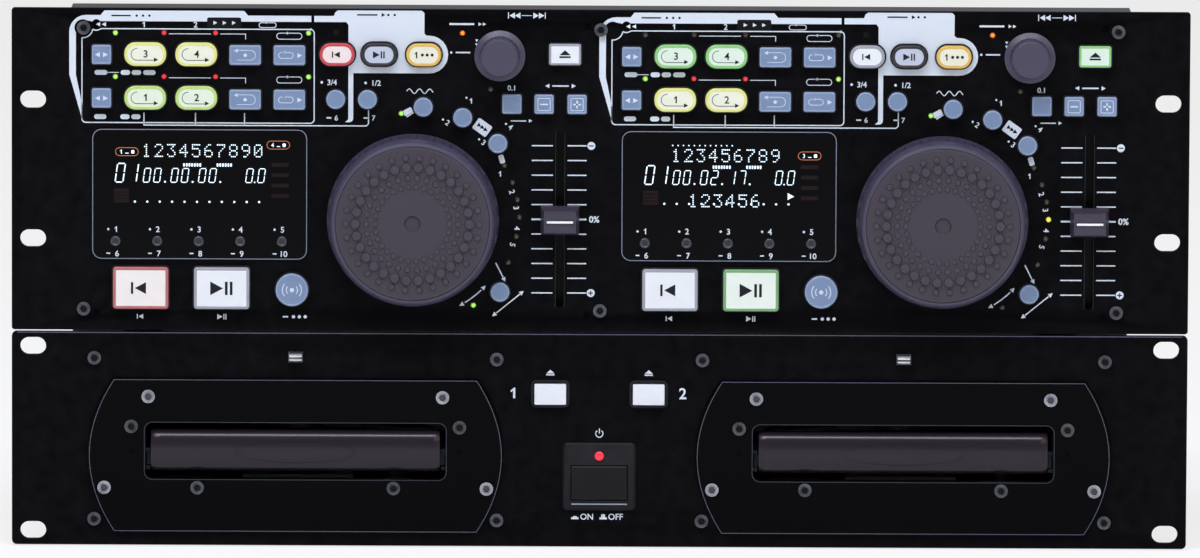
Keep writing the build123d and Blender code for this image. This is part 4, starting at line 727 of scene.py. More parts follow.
def print_key_signs(ink):
    """Signs and figures beside the keys, lamps and wheel."""
    for x in (-97.2, -94.8):
        ink.arrow(x, 125.9, 1.1, math.pi)
    for x, figure in ((-78.6, "1"), (-57.5, "2")):
        ink.words(figure, x, 125.9, 2.3)
    draw_loop(ink, -28.0, 125.8, 7.0, 2.0)
    ink.box(-1.0, 121.9, 1.0, 123.9, 0.1, *OVER)
    ink.box(8.6, 129.9, 17.0, 130.5, 0.2, *OVER)
    ink.arrow(19.2, 130.2, 1.0, 0.0, *OVER)
    for x in (21.4, 24.0):
        ink.dot(x, 130.2, 0.5, *OVER)
    ink.box(-92.0, 129.2, -84.0, 129.8, 0.2, *OVER)
    for x in (-81.6, -79.0, -76.4):
        ink.dot(x, 129.5, 0.5, *OVER)
    draw_skip(ink, 78.1, 130.2, 1.75)
    for x in (58.8, 60.6):
        ink.arrow(x, 126.6, 0.9, 0.0)
    ink.box(46.4, 126.2, 56.6, 127.0, 0.2)
    for z in (119.9, 118.2):
        ink.arrow(57.6, z, 0.8, -math.pi / 2)
    ink.box(49.0, 114.6, 55.0, 115.2, 0.2)
    ink.dot(47.2, 114.9, 0.5)
    ink.words("0.1", 72.1, 100.4, 2.1)
    for side in (-1, 1):
        ink.arrow(92.0 + side * 5.2, 101.3, 1.1, math.pi * (side < 0))
    ink.box(88.6, 101.0, 95.4, 101.6, 0.2)
    for x, h, figures in ((-4.6, 102.4, "3/4"), (13.4, 102.2, "1/2")):
        ink.dot(x - 1.2, h, 0.55)
        ink.words(figures, x + 3.0, h, 2.2)
    for x, figure in ((-0.2, "6"), (15.0, "7")):
        ink.box(x - 3.6, 87.5, x - 1.6, 88.1, 0.1)
        ink.words(figure, x + 0.4, 87.8, 2.1)
    ink.box(71.6, 86.6, 78.0, 87.1, 0.1)
    ink.arrow(79.6, 86.9, 0.9, 0.0)
    wave = [(29.0 + k * 0.6, 98.9 + 1.0 * math.sin(k * 0.9)) for k in range(19)]
    ink.line(wave, 0.35)
    ink.line([(29.0, 88.3), (32.6, 90.6)], 0.5)
    for x, h, figure in (
        (55.4, 95.0, "1"), (45.8, 86.0, "2"), (60.6, 77.9, "3"), (71.6, 84.3, "4"),
    ):
        ink.words(figure, x, h, 2.2, turn=-0.6)
        ink.dot(x - 1.9, h + 1.3, 0.45)
    # Slanting flags: half width, half height and turn. The signs go on the last.
    for x, h, wide, tall, turn in (
        (29.5, 90.5, 2.0, 1.2, 0.5), (68.0, 71.1, 1.1, 1.8, 0.3), (60.0, 84.1, 3.4, 2.6, -0.62),
    ):
        flag = Ink(ink.bm, ink.y, *ink.at(x, h), turn)
        flag.box(-wide, -tall, wide, tall, 0.6)
    for x in (-1.6, 0.0, 1.6):
        flag.arrow(x, 0.0, 1.1, 0.0, *OVER)


def print_wheel_signs(ink):
    """Figures round the jog wheel and the scale of the fader."""
    for figure, x, h in (
        ("1", 66.0, 65.0), ("2", 70.9, 57.6), ("3", 72.6, 51.0), ("4", 73.0, 42.6),
        ("5", 71.2, 35.8),
    ):
        turn = math.atan2(h - WHEEL_H, x - WHEEL_X) - math.pi / 2
        ink.words(figure, x + 1.4, h, 2.2, turn=turn)
    arrow = Ink(ink.bm, ink.y, *ink.at(67.6, 24.6), -1.1)
    arrow.box(-4.2, -0.25, 2.6, 0.25)
    arrow.arrow(3.4, 0.0, 1.2, 0.0)
    ink.line(arc_points(WHEEL_X, WHEEL_H, 40.4, -46, -58, 6), 0.5)
    for side, angle in ((1, -60), (-1, -44)):
        tip = arc_points(WHEEL_X, WHEEL_H, 40.4, angle, angle, 1)[0]
        ink.arrow(tip[0], tip[1], 1.2, math.radians(angle - 90 * side))
    ink.line([(66.0, 7.6), (75.6, 15.4)], 0.5)
    for x, h, turn in ((65.2, 7.0, 3.8), (76.3, 16.0, 0.66)):
        ink.arrow(x, h, 1.2, turn)
    for step in range(SCALE_LINES):
        h = SCALE_LOW + (SCALE_HIGH - SCALE_LOW) * step / (SCALE_LINES - 1)
        heavy = 0.75 if step == SCALE_LINES // 2 else 0.5
        ink.line([(80.3, h), (89.0, h)], heavy)
        ink.line([(95.0, h), (102.8, h)], heavy)
    for x in (90.15, 93.85):
        ink.line([(x, 10.2), (x, 82.2)], 0.12, PRINT_DIM)
    ink.words("0%", 106.0, 46.4, 2.5, thicken=0.08)
    for h in (SCALE_LOW, SCALE_HIGH):
        ink.dot(104.7, h, 1.65)
        ink.box(103.7, h - 0.22, 105.7, h + 0.22, 0, *OVER)
    ink.box(104.48, SCALE_LOW - 1.0, 104.92, SCALE_LOW + 1.0, 0, *OVER)


def print_lower_signs(ink):
    """Signs under the large keys."""
    draw_cue(ink, -79.8, 5.6, 1.7)
    draw_play(ink, -46.6, 5.6, 1.9)
    ink.box(-21.6, 5.4, -19.4, 6.0, 0)
    for x in (-17.2, -14.8, -12.4):
        ink.dot(x, 5.7, 0.7)


class PLAYER_OT_panel_print(bpy.types.Operator):
    """Pale print of the controller's panel"""

    bl_idname = "player.panel_print"
    bl_label = "Panel print"

    def execute(self, context):
        paint = context.scene.player_paint
        pale = print_material("panel_print_pale", paint.print_color)
        black = print_material("panel_print_black", paint.panel)
        dim = print_material("panel_print_dim", (0.22, 0.22, 0.25))
        for number, deck in enumerate(DECKS, 1):
            bm = bmesh.new()
            ink = Ink(bm, FACE_Y - INK_LIFT, deck, PANEL_LOW.z)
            print_block_graphics(ink)
            print_key_signs(ink)
            print_wheel_signs(ink)
            print_lower_signs(ink)
            mesh_piece(f"panel_print_{number}", bm, [pale, black, dim], UNIT)
        bm = bmesh.new()
        ink = Ink(bm, DRIVE_LOW.y - INK_LIFT, 0.0, 0.0)
        for x, key_x, figure in ((-35.3, -20.2, "1"), (34.2, 20.2, "2")):
            ink.words(figure, x, 63.5, 4.4, thicken=0.12)
            draw_eject(ink, key_x, 71.8, 1.7)
        ink.line(arc_points(0.0, 46.8, 1.5, 125, 415, 14), 0.4)
        ink.line([(0.0, 46.8), (0.0, 49.0)], 0.4)
        for x, word in ((-5.0, "ON"), (6.8, "OFF")):
            ink.words(word, x, 12.4, 2.4)
        for x, tall in ((-9.9, 0.5), (1.7, 1.3)):
            ink.box(x - 1.5, 11.3, x + 1.5, 12.1)
            ink.box(x - 0.8, 12.1, x + 0.8, 12.1 + tall)
        mesh_piece("drive_print", bm, [pale, black], UNIT)
        return {"FINISHED"}


# ------------------------------------------------------------------ keys
def draw_key_mark(ink, mark, pen, scale):
    """Sign on a key's pad, drawn in mm round the pad's middle."""
    if mark in ("1", "2", "3", "4"):
        hook = [(-3.2, 2.4)] + arc_points(-3.4, 0.0, 2.4, 90, 270, 10) + [(3.6, -2.4)]
        ink.line(hook, 0.26, pen)
        ink.arrow(4.2, -2.2, 1.1, 0.0, pen)
        ink.words(mark, 0.2, 0.2, 2.9, pen, thicken=0.06)
    elif mark == "half_loop":
        hook = [(-3.4, 2.0)] + arc_points(2.2, 0.0, 2.0, 90, -90, 8) + [(-3.4, -2.0)]
        ink.line(hook, 0.26, pen)
        ink.arrow(-3.6, 1.9, 1.0, math.pi, pen)
        ink.dot(0.0, 0.0, 0.7, pen)
    elif mark == "loop_out":
        draw_loop(ink, -1.4, 0.0, 6.0, 2.4, pen)
        ink.arrow(4.0, 0.0, 1.2, 0.0, pen)
    elif mark == "dash":
        ink.arrow(-1.4, 0.0, 1.3, math.pi, pen)
        ink.arrow(1.4, 0.0, 1.3, 0.0, pen)
    elif mark == "cue":
        draw_cue(ink, 0.0, 0.0, 2.1 * scale, pen)
    elif mark == "play":
        draw_play(ink, -0.1, 0.0, 2.4 * scale, pen)
    elif mark == "dots":
        ink.words("1", -3.1, 0.0, 2.6, pen)
        for x in (-0.6, 1.4, 3.4):
            ink.dot(x, 0.0, 0.62, pen)
    elif mark == "eject":
        draw_eject(ink, 0.0, 0.0, 2.3, pen)
    elif mark in ("minus", "plus"):
        ink.frame(-2.5, -2.5, 2.5, 2.5, 0.4, 0.3, pen)
        ink.box(-1.6, -0.32, 1.6, 0.32, 0, pen)
        if mark == "plus":
            ink.box(-0.32, -1.6, 0.32, 1.6, 0, pen)
    elif mark == "tap":
        ink.dot(0.0, 0.0, 0.9, pen)
        for r in (2.3, 3.9):
            for start in (-40, 140):
                ink.line(arc_points(0.0, 0.0, r, start, start + 80, 8), 0.4, pen)


def add_key_cap(bm, form, x, z, front_y, look_index):
    """Soft-edged cap over a key with a set-in pad: rim and pad in their own finishes."""
    wide, tall, corner = (size * MM for size in KEY_FORMS[form])
    wide, tall, corner = wide + 2 * CAP_SKIN, tall + 2 * CAP_SKIN, corner + CAP_SKIN
    if form in ROUND_FORMS:
        outline = ring((x, z), wide / 2)
    else:
        outline = rounded((x, z), wide, tall, corner)
    before = len(bm.faces)
    back = MENU_CAP_BACK if form == "menu" else CAP_BACK
    pads = pull_out(bm, outline, FACE_Y - back, front_y)[1]
    for edge, rise in (
        (CAP_SOFT_EDGE, CAP_SOFT_RISE), (RIM_WIDTHS[form] * MM, RIM_RISE), (PAD_EDGE, -PAD_SINK),
    ):
        bmesh.ops.inset_region(bm, faces=pads, thickness=edge, depth=rise, use_even_offset=True)
    paint_faces(bm, before, look_index)
    for pad in pads:
        pad.material_index = look_index + 1


def key_material(name, color, glow, roughness):
    """Clear or tinted key plastic, lit from behind when it glows."""
    shade = linear(color)
    material = finish_material(
        name, shade, roughness, grain=1400.0, bump=0.02, wear_and_highlight=0.12, dust=0.02, coat=0.25,
        mottle=0.08,
    )
    set_values(material.node_tree.nodes["Principled BSDF"], {
        "Emission Color": (*shade, 1.0), "Emission Strength": glow,
    })
    return material


class PLAYER_OT_keys(bpy.types.Operator):
    """Caps, pads and signs of the keys of both decks"""

    bl_idname = "player.keys"
    bl_label = "Keys"

    def execute(self, context):
        glow = context.scene.player_glow.key_glow
        materials, looks = [], {}
        for look, (rim, pad) in KEY_LOOKS.items():
            looks[look] = len(materials)
            lit = glow if look in LIT_LOOKS else 0.0
            materials.append(key_material(f"key_rim_{look}", rim, lit, 0.32))
            materials.append(key_material(f"key_pad_{look}", pad, lit, 0.4))
        ink_index = len(materials)
        materials.append(print_material("key_print_dark", (0.10, 0.10, 0.13)))
        materials.append(print_material("key_print_pale", (0.80, 0.84, 0.90)))
        banks = {}
        for body, form, deck_looks, mark, spots in KEYS:
            front_y = FACE_Y - KEY_FRONTS.get(form, KEY_FRONT) * MM - CAP_LIFT
            for dx, h in spots:
                for number, deck, look in zip(SIDES, DECKS, deck_looks):
                    bm = banks.setdefault(body.format(number), bmesh.new())
                    x, z = place(dx, h)
                    add_key_cap(bm, form, deck + x, z, front_y, looks[look])
                    if mark:
                        ink = Ink(bm, front_y - CAP_SOFT_RISE, deck + x, z)
                        pen = ink_index + (look == "blue")
                        draw_key_mark(ink, mark, pen, 1.9 if form == "cue" else 1.0)
        for body, bm in banks.items():
            mesh_piece(f"{body}_caps", bm, materials, body, 25)
        for number in SIDES:
            body = f"drive_open_key_{number}"
            low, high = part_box(f"drive_open_key_{number}")
            bm = bmesh.new()
            outline = rounded(middle_of(low, high), 13.0 * MM, 8.6 * MM, 0.5 * MM)
            add_block(bm, outline, low.y + 0.5 * MM, low.y - 0.12 * MM, 0.25 * MM)
            mesh_piece(f"{body}_cap", bm, [materials[looks["pale"] + 1]], body, 35)
        return {"FINISHED"}


# ------------------------------------------------------------------ lamps
def add_dome(bm, middle, radius, flat, segments):
    """Ball pressed flat from front to back."""
    seat = Matrix.Translation(middle) @ Matrix.Diagonal((1.0, flat, 1.0, 1.0))
    return bmesh.ops.create_uvsphere(
        bm, u_segments=segments, v_segments=segments // 2, radius=radius,
        matrix=seat @ Matrix.Rotation(math.radians(90), 4, "X"),
    )["verts"]


class PLAYER_OT_lamps(bpy.types.Operator):
    """Domed indicator lamps, lit and unlit"""

    bl_idname = "player.lamps"
    bl_label = "Lamps"

    def execute(self, context):
        glow = context.scene.player_glow.lamp_glow
        materials, places = [], {}
        for name, color in LAMP_COLORS.items():
            places[name, True] = len(materials)
            materials.append(light_material(f"lamp_{name}_lit", linear(color), glow))
            dim = linear([0.06 + c * 0.16 for c in color])
            places[name, False] = len(materials)
            materials.append(finish_material(f"lamp_{name}_dark", dim, 0.25, bump=0.0, coat=0.4))
        reach = FACE_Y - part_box("controller_lamps")[0].y + 0.15 * MM
        for side, deck in enumerate(DECKS):
            bm = bmesh.new()
            for dx, h, color, *lit in LAMPS:
                x, z = place(dx, h)
                before = len(bm.faces)
                middle = (deck + x, FACE_Y, z)
                for vert in add_dome(bm, middle, LAMP_RADIUS, reach / LAMP_RADIUS, 20):
                    vert.co.y = min(vert.co.y, FACE_Y + 0.3 * MM)
                paint_faces(bm, before, places[color, lit[side]])
            mesh_piece(f"lamp_lenses_{side + 1}", bm, materials, UNIT, 60)
        bm = bmesh.new()
        middle = (0.0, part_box("drive_key_frames")[0].y, POWER_LAMP_H)
        add_dome(bm, middle, POWER_LAMP_RADIUS, POWER_LAMP_FLAT, 24)
        mesh_piece("power_lamp", bm, [materials[places["red", True]]], UNIT, 60)
        return {"FINISHED"}


# ------------------------------------------------------------------ displays
# Bars of a figure: ends in widths and half heights.
BAR_ENDS = {
    "a": ((0, 2), (1, 2)), "b": ((1, 2), (1, 1)), "c": ((1, 1), (1, 0)), "d": ((0, 0), (1, 0)),
    "e": ((0, 0), (0, 1)), "f": ((0, 1), (0, 2)), "g": ((0, 1), (1, 1)),
}
FIGURES = {"0": "abcdef", "1": "bc", "2": "abged", "7": "abc"}
LEAN = 0.14
# The track figures and the smaller clock figures: width, height and weight of a bar.
LARGE_FIGURE, SMALL_FIGURE = (3.2, 7.7, 0.5), (2.5, 5.7, 0.38)


def draw_figure(ink, figure, left, low, wide, tall, weight):
    """Leaning seven-bar figure."""
    trim = weight * 0.62
    for bar in FIGURES[figure]:
        start, end = (Vector((left + x * wide, low + z * tall / 2)) for x, z in BAR_ENDS[bar])
        along = (end - start).normalized() * trim
        ends = (start + along, end - along)
        ink.line([(point.x + (point.y - low) * LEAN, point.y) for point in ends], weight)


# Figures of five by seven dots: each row from the top, one bit a dot.
DOT_FIGURES = {
    "0": (14, 17, 19, 21, 25, 17, 14), "1": (4, 12, 4, 4, 4, 4, 14),
    "2": (14, 17, 1, 2, 4, 8, 31), "3": (31, 2, 4, 2, 1, 17, 14),
    "4": (2, 6, 10, 18, 31, 2, 2), "5": (31, 16, 30, 1, 1, 17, 14),
    "6": (6, 8, 16, 30, 17, 17, 14), "7": (31, 1, 2, 4, 8, 8, 8),
    "8": (14, 17, 17, 14, 17, 17, 14), "9": (14, 17, 17, 15, 1, 2, 12),
}
# Steps from figure to figure and from dot to dot, and the size of a dot.
CELL, DOT_ACROSS, DOT_UP, DOT = 5.09, 0.72, 0.8, 0.5


def draw_dots(ink, figures, left, low):
    """Row of plain figures made of small square dots."""
    for cell, figure in enumerate(figures):
        for row, bits in enumerate(DOT_FIGURES[figure]):
            for column in range(5):
                if bits >> (4 - column) & 1:
                    x = left + cell * CELL + column * DOT_ACROSS
                    z = low + (6 - row) * DOT_UP
                    ink.box(x, z, x + DOT, z + DOT)


def deck_x(pixel_x):
    """Place across the left deck, mm, of a pixel of the photograph."""
    return PIXEL_MM * pixel_x - 137.8


def deck_h(pixel_y):
    """Height on the display, mm, of a pixel of the photograph."""
    return 135.994 - 0.4134 * pixel_y


PEN_FAINT, PEN_AMBER, PEN_LINE, PEN_PALE = 1, 2, 3, 4
# Unlit blocks of bars on the displays: left, top, right and bottom pixel.
BAR_BLOCKS = ((271.8, 161.7, 289.0, 203.0), (114.2, 187.8, 129.4, 201.3))
# What the two displays show: the clock, rows of dot figures, and the tags.
DISPLAYS = (
    ("000000", (("1234567890", 142.7, 156.2),), ((116.0, 155.1, "1"), (267.2, 147.9, "4"))),
    ("000217", (("123456789", 142.7, 159.0), ("123456", 160.0, 204.0)), ((269.0, 156.4, "3"),)),
)


def draw_clock(ink, clock):
    """Track, time and rate in seven-bar figures, with small marks over them."""
    base = deck_h(181.4)
    for step, figure in enumerate("01"):
        draw_figure(ink, figure, deck_x(115.5 + 13.2 * step), base, *LARGE_FIGURE)
    for step, figure in enumerate(clock):
        left = 143.4 + 10.4 * step + 6.8 * (step // 2)
        draw_figure(ink, figure, deck_x(left), base, *SMALL_FIGURE)
        if step % 2:
            ink.dot(deck_x(left + 11.6), base + 0.2, 0.4)
    for step, figure in enumerate("00"):
        draw_figure(ink, figure, deck_x(245.8 + 12.0 * step), base, *SMALL_FIGURE)
    ink.dot(deck_x(255.0), base + 0.1, 0.32)
    for x, marks in ((183.5, 7), (217.0, 6)):
        for step in range(marks):
            left = deck_x(x + 2.7 * step)
            ink.box(left, deck_h(165.6), left + 0.72, deck_h(162.4), 0.2)
    for step in range(11):
        ink.dot(deck_x(135.3 + 12.42 * step), deck_h(200.8), 0.45)


def draw_tag(ink, left, low, figure):
    """Amber ring round a figure, a dash and a block."""
    ink.frame(left, low, left + 9.3, low + 3.3, 1.6, 0.24, PEN_AMBER)
    ink.words(figure, left + 2.3, low + 1.65, 1.7, thicken=0.0)
    ink.box(left + 4.0, low + 0.9, left + 5.4, low + 1.2)
    ink.box(left + 6.4, low + 0.9, left + 7.7, low + 2.3, 0.3)


def print_menu_signs(ink):
    """Dots, dashes and figures over and under the menu keys."""
    for step, x in enumerate(MENU_X):
        ink.dot(x - 3.0, 41.6, 0.5, PEN_PALE)
        ink.words(str(step + 1), x + 0.2, 41.6, 2.3, PEN_PALE, thicken=0.06)
        ink.box(x - 3.8, 31.4, x - 2.2, 31.9, 0, PEN_PALE)
        ink.words(str(step + 6), x + 0.6, 31.6, 2.3, PEN_PALE, thicken=0.06)


class PLAYER_OT_displays(bpy.types.Operator):
    """Glass, figures and dots of the two displays"""

    bl_idname = "player.displays"
    bl_label = "Displays"

    def execute(self, context):
        paint, glow = context.scene.player_paint, context.scene.player_glow.segment_glow
        lit = light_material("display_figures", linear(paint.segment), glow, 0.12)
        faint = print_material("display_faint", (0.085, 0.020, 0.035))
        amber = light_material("display_amber", linear((0.70, 0.40, 0.26)), glow * 0.5)
        line = print_material("display_outline", (0.47, 0.49, 0.56))
        pale = print_material("display_print", paint.print_color)
        glass = finish_material(
            "display_window", linear((0.006, 0.005, 0.010)), 0.14, bump=0.0, wear_and_highlight=0.0, dust=0.0,
            mottle=0.02, specular=0.08,
        )
        dress("display_windows", glass)
        window_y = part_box("display_windows")[0].y - INK_LIFT
        materials = [lit, faint, amber, line, pale]
        for number, deck, (clock, rows, tags) in zip(SIDES, DECKS, DISPLAYS):
            bm = bmesh.new()
            ink = Ink(bm, window_y, deck, PANEL_LOW.z)
            ink.frame(-99.6, 29.5, -11.9, 82.7, 3.6, 0.36, PEN_LINE)
            draw_clock(ink, clock)
            for figures, x, y in rows:
                draw_dots(ink, figures, deck_x(x), deck_h(y))
            for x, y, figure in tags:
                draw_tag(ink, deck_x(x), deck_h(y), figure)
            if number == 2:
                for step in range(12):
                    ink.dot(deck_x(143.5 + 5.4 * step), deck_h(142.6), 0.3)
                ink.arrow(deck_x(261.0), deck_h(193.0), 1.7)
            for left, top, right, low in BAR_BLOCKS:
                for row in range(4):
                    high = deck_h(top) - (deck_h(top) - deck_h(low)) * row / 4
                    ink.box(deck_x(left), high - 1.6, deck_x(right), high, 0, PEN_FAINT)
            print_menu_signs(ink)
            mesh_piece(f"display_figures_{number}", bm, materials, UNIT)
        return {"FINISHED"}


# ------------------------------------------------------------------ finishes of the CAD pieces
class PLAYER_OT_finishes(bpy.types.Operator):
    """Finishes of the panels, cases, wheels, trays and inner pieces"""

    bl_idname = "player.finishes"
    bl_label = "Finishes"

    def execute(self, context):
        paint = context.scene.player_paint
        # Finish, then its nodes; a name with a gap stands for both sides.
        finishes = [
            (finish_material(
                "panel_paint", linear(paint.panel), 0.42, grain=1500.0, bump=0.03, wear_and_highlight=0.12,
                dust=0.0005, specular=0.03, worn_and_highlight=(0.05, 0.05, 0.06),
            ), "controller_panel drive_panel"),
            (finish_material(
                "sheet_steel", (0.055, 0.055, 0.06), 0.5, grain=700.0, wear_and_highlight=0.2,
            ), "controller_case drive_base drive_cover"),
            (finish_material(
                "black_moulding", linear((0.05, 0.045, 0.06)), 0.4, wear_and_highlight=0.25, dust=0.004,
                specular=0.22, worn_and_highlight=(0.06, 0.06, 0.08),
            ), "key_frame drive_key_frames power_button fader_tracks rear_sockets mains_inlet "
               "controller_lamps encoders"),
            (finish_material(
                "fader_cap_moulding", linear((0.24, 0.215, 0.27)), 0.36, wear_and_highlight=0.25, dust=0.006,
                specular=0.35,
            ), "pitch_fader_{}"),
            (finish_material(
                "wheel_moulding", linear(paint.jog), 0.38, grain=1100.0, bump=0.03, wear_and_highlight=0.25,
                dust=0.01, worn_and_highlight=(0.16, 0.16, 0.21),
            ), "jog_wheel_{} track_knob_{}"),
            (finish_material(
                "pad_rubber", linear(paint.pad), 0.55, grain=1300.0, bump=0.06, wear_and_highlight=0.3,
                dust=0.012, worn_and_highlight=(0.09, 0.09, 0.12),
            ), "jog_pad_{}"),
            (finish_material(
                "gloss_bezel", linear(paint.bezel), 0.16, grain=300.0, bump=0.0, wear_and_highlight=0.0,
                dust=0.0, mottle=0.02, specular=0.05,
            ), "drive_bezels"),
            # Dark plated heads whose very pale rubbed edges are a painted highlight: glints on the
            # screw rims.
            (finish_material(
                "plated_screw", (0.075, 0.075, 0.09), 0.22, 1.0, bump=0.01, wear_and_highlight=0.8, dust=0.01,
                mottle=0.1, worn_and_highlight=(0.75, 0.75, 0.8),
            ), "bright_screws"),
            (finish_material(
                "blacked_screw", (0.006, 0.006, 0.008), 0.3, 0.2, bump=0.01, wear_and_highlight=0.7,
                worn_and_highlight=(0.22, 0.22, 0.25), specular=0.18, dust=0.006,
            ), "black_screws"),
            (finish_material("foot_rubber", (0.012, 0.012, 0.013), 0.8, wear_and_highlight=0.1),
             "controller_feet"),
            (finish_material("board_varnish", (0.02, 0.11, 0.045), 0.35, wear_and_highlight=0.15, coat=0.3),
             "controller_board main_board"),
            (finish_material("zinc_plate", (0.45, 0.45, 0.47), 0.38, 0.9, wear_and_highlight=0.2),
             "clamp_bridge_{} power_supply traverse_{} turntable_{}"),
            (finish_material("white_gear", (0.62, 0.62, 0.58), 0.45, wear_and_highlight=0.1),
             "tray_pinion_{} pickup_{}"),
            (finish_material("tray_moulding", linear((0.12, 0.12, 0.13)), 0.45, wear_and_highlight=0.15),
             "tray_{} loader_frame_{}"),
            (finish_material(
                "tube_glass", (0.02, 0.025, 0.03), 0.1, bump=0.0, wear_and_highlight=0.0, coat=0.5,
            ), "display_tubes"),
            (finish_material("ground_steel", (0.6, 0.6, 0.62), 0.25, 1.0, wear_and_highlight=0.0),
             "knob_shaft_{}"),
        ]
        key = finish_material("key_body", linear((0.30, 0.34, 0.42)), 0.4, wear_and_highlight=0.1)
        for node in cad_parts:
            if node.endswith("_keys") or "_key_" in node:
                dress(node, key)
        for material, nodes in finishes:
            for node in nodes.split():
                for number in SIDES if "{}" in node else (1,):
                    dress(node.format(number), material)
        return {"FINISHED"}


# ------------------------------------------------------------------ small fittings
# Surround of a bay, mm, round whose edge a painted highlight line runs: its heights, and half its
# widths at mid-height and at its ends.
BEZEL_TOP, BEZEL_LOW = 69.2, 5.5
BEZEL_HALF, BEZEL_END_HALF = 84.6, 74.4
BEZEL_STEPS = 10
# Painted highlight line round a tray's mouth, where its edge catches the light: left, low, right,
# high and corner.
MOUTH_HIGHLIGHT_LINE = (-62.0, 27.4, 62.0, 51.1, 3.2)
# Low edges and heights of the two blades of a plated clip.
CLIP_BLADES = ((76.8, 1.0), (78.2, 1.6))
CLIP_WIDE = 5.2 * MM


class PLAYER_OT_fittings(bpy.types.Operator):
    """Fader cap lines, plated clips, and painted highlights: a strip on the power button's top
    edge and lines along the bezel edges, the tray mouths and the drive panel's top edge
    """

    bl_idname = "player.fittings"
    bl_label = "Fittings"

    def execute(self, context):
        white = print_material("cap_line_white", (0.93, 0.93, 0.95))
        # Pale line colours for the bezel and tray mouth edges: painted highlights where the edges
        # catch the light.
        edge = finish_material(
            "bezel_painted_highlight", linear((0.28, 0.29, 0.36)), 0.25, bump=0.0, wear_and_highlight=0.1, specular=0.4,
        )
        trim = finish_material(
            "mouth_painted_highlight", linear((0.12, 0.13, 0.20)), 0.3, bump=0.0, wear_and_highlight=0.1,
        )
        # Pale strip colour for the power button's top edge: a painted highlight where the edge
        # catches the light.
        power_highlight = finish_material("power_painted_highlight", linear((0.55, 0.58, 0.66)), 0.25, bump=0.0, wear_and_highlight=0.2)
        silver = finish_material("clip_plate", (0.75, 0.75, 0.77), 0.2, 1.0, bump=0.0, wear_and_highlight=0.0)
        for number in SIDES:
            low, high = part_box(f"pitch_fader_{number}")
            bm = bmesh.new()
            outline = rounded(middle_of(low, high), 10.8 * MM, 0.9 * MM, 0.3 * MM)
            add_block(bm, outline, low.y + 0.5 * MM, low.y - 0.1 * MM, 0.08 * MM, 2)
            mesh_piece(
                f"fader_line_{number}", bm, [white], f"pitch_fader_{number}", 30,
            )
        # Painted highlight: a thin pale strip along the power button's top edge.
        low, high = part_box("power_button")
        bm = bmesh.new()
        outline = rounded((middle_of(low, high)[0], 17.8 * MM), 23.0 * MM, 0.5 * MM, 0.2 * MM)
        add_block(bm, outline, low.y + 1.4 * MM, low.y + 0.5 * MM)
        mesh_piece("power_painted_highlight", bm, [power_highlight], UNIT, 30)
        clip_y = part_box("bright_screws")[0].y - 0.1 * MM
        for number, bay in zip(SIDES, BAYS):
            bm = bmesh.new()
            for low_z, tall in CLIP_BLADES:
                middle = (bay, (low_z + tall / 2) * MM)
                outline = rounded(middle, CLIP_WIDE, tall * MM, 0.35 * MM)
                add_block(bm, outline, DRIVE_LOW.y, clip_y, 0.15 * MM, 2)
            mesh_piece(f"clip_{number}", bm, [silver], UNIT, 30)
        # Painted highlight along the drive panel's top edge.
        bm = bmesh.new()
        top = DRIVE_HIGH.z / MM - 0.35
        Ink(bm, DRIVE_LOW.y - INK_LIFT).line([(-239.0, top), (239.0, top)], 0.4)
        mesh_piece("panel_edge_painted_highlight", bm, [edge], UNIT)
        # Painted highlight lines along each bezel's edge and round its tray mouth.
        middle, reach = (BEZEL_TOP + BEZEL_LOW) / 2, (BEZEL_TOP - BEZEL_LOW) / 2 - 0.6
        side = []
        for k in range(-BEZEL_STEPS, BEZEL_STEPS + 1):
            share = k / BEZEL_STEPS
            half = BEZEL_HALF - (BEZEL_HALF - BEZEL_END_HALF) * share ** 2
            side.append((half, middle + reach * share))
        bezel_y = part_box("drive_bezels")[0].y
        for number, bay in zip(SIDES, BAYS):
            bm = bmesh.new()
            ink = Ink(bm, bezel_y - INK_LIFT, bay)
            ink.line(side[::-1] + [(-x, z) for x, z in side], 0.3, 0, True)
            ink.frame(*MOUTH_HIGHLIGHT_LINE, 0.3, 1)
            mesh_piece(f"bezel_painted_highlight_{number}", bm, [edge, trim], UNIT)
        return {"FINISHED"}


# ------------------------------------------------------------------ tray fronts
# Oval on a front, outlined by a dark line of painted shade where its emboss would be: half its
# width and height, its drop below the middle and its steps.
OVAL_WIDE, OVAL_TALL, OVAL_DROP, OVAL_STEPS = 24.6 * MM, 4.5 * MM, 0.4 * MM, 64
# The inner side of its line, as shares of the oval across and up.
OVAL_LINE_WIDE, OVAL_LINE_TALL = 0.985, 0.965


def crown_depth(across, up):
    """How far back a tray's front curves, at shares of its half width and half height."""
    end = max(0.0, abs(across) - 0.975) / 0.025
    return (0.45 + 1.1 * up ** 2 + 2.4 * up ** 6 + 1.2 * end ** 2) * MM


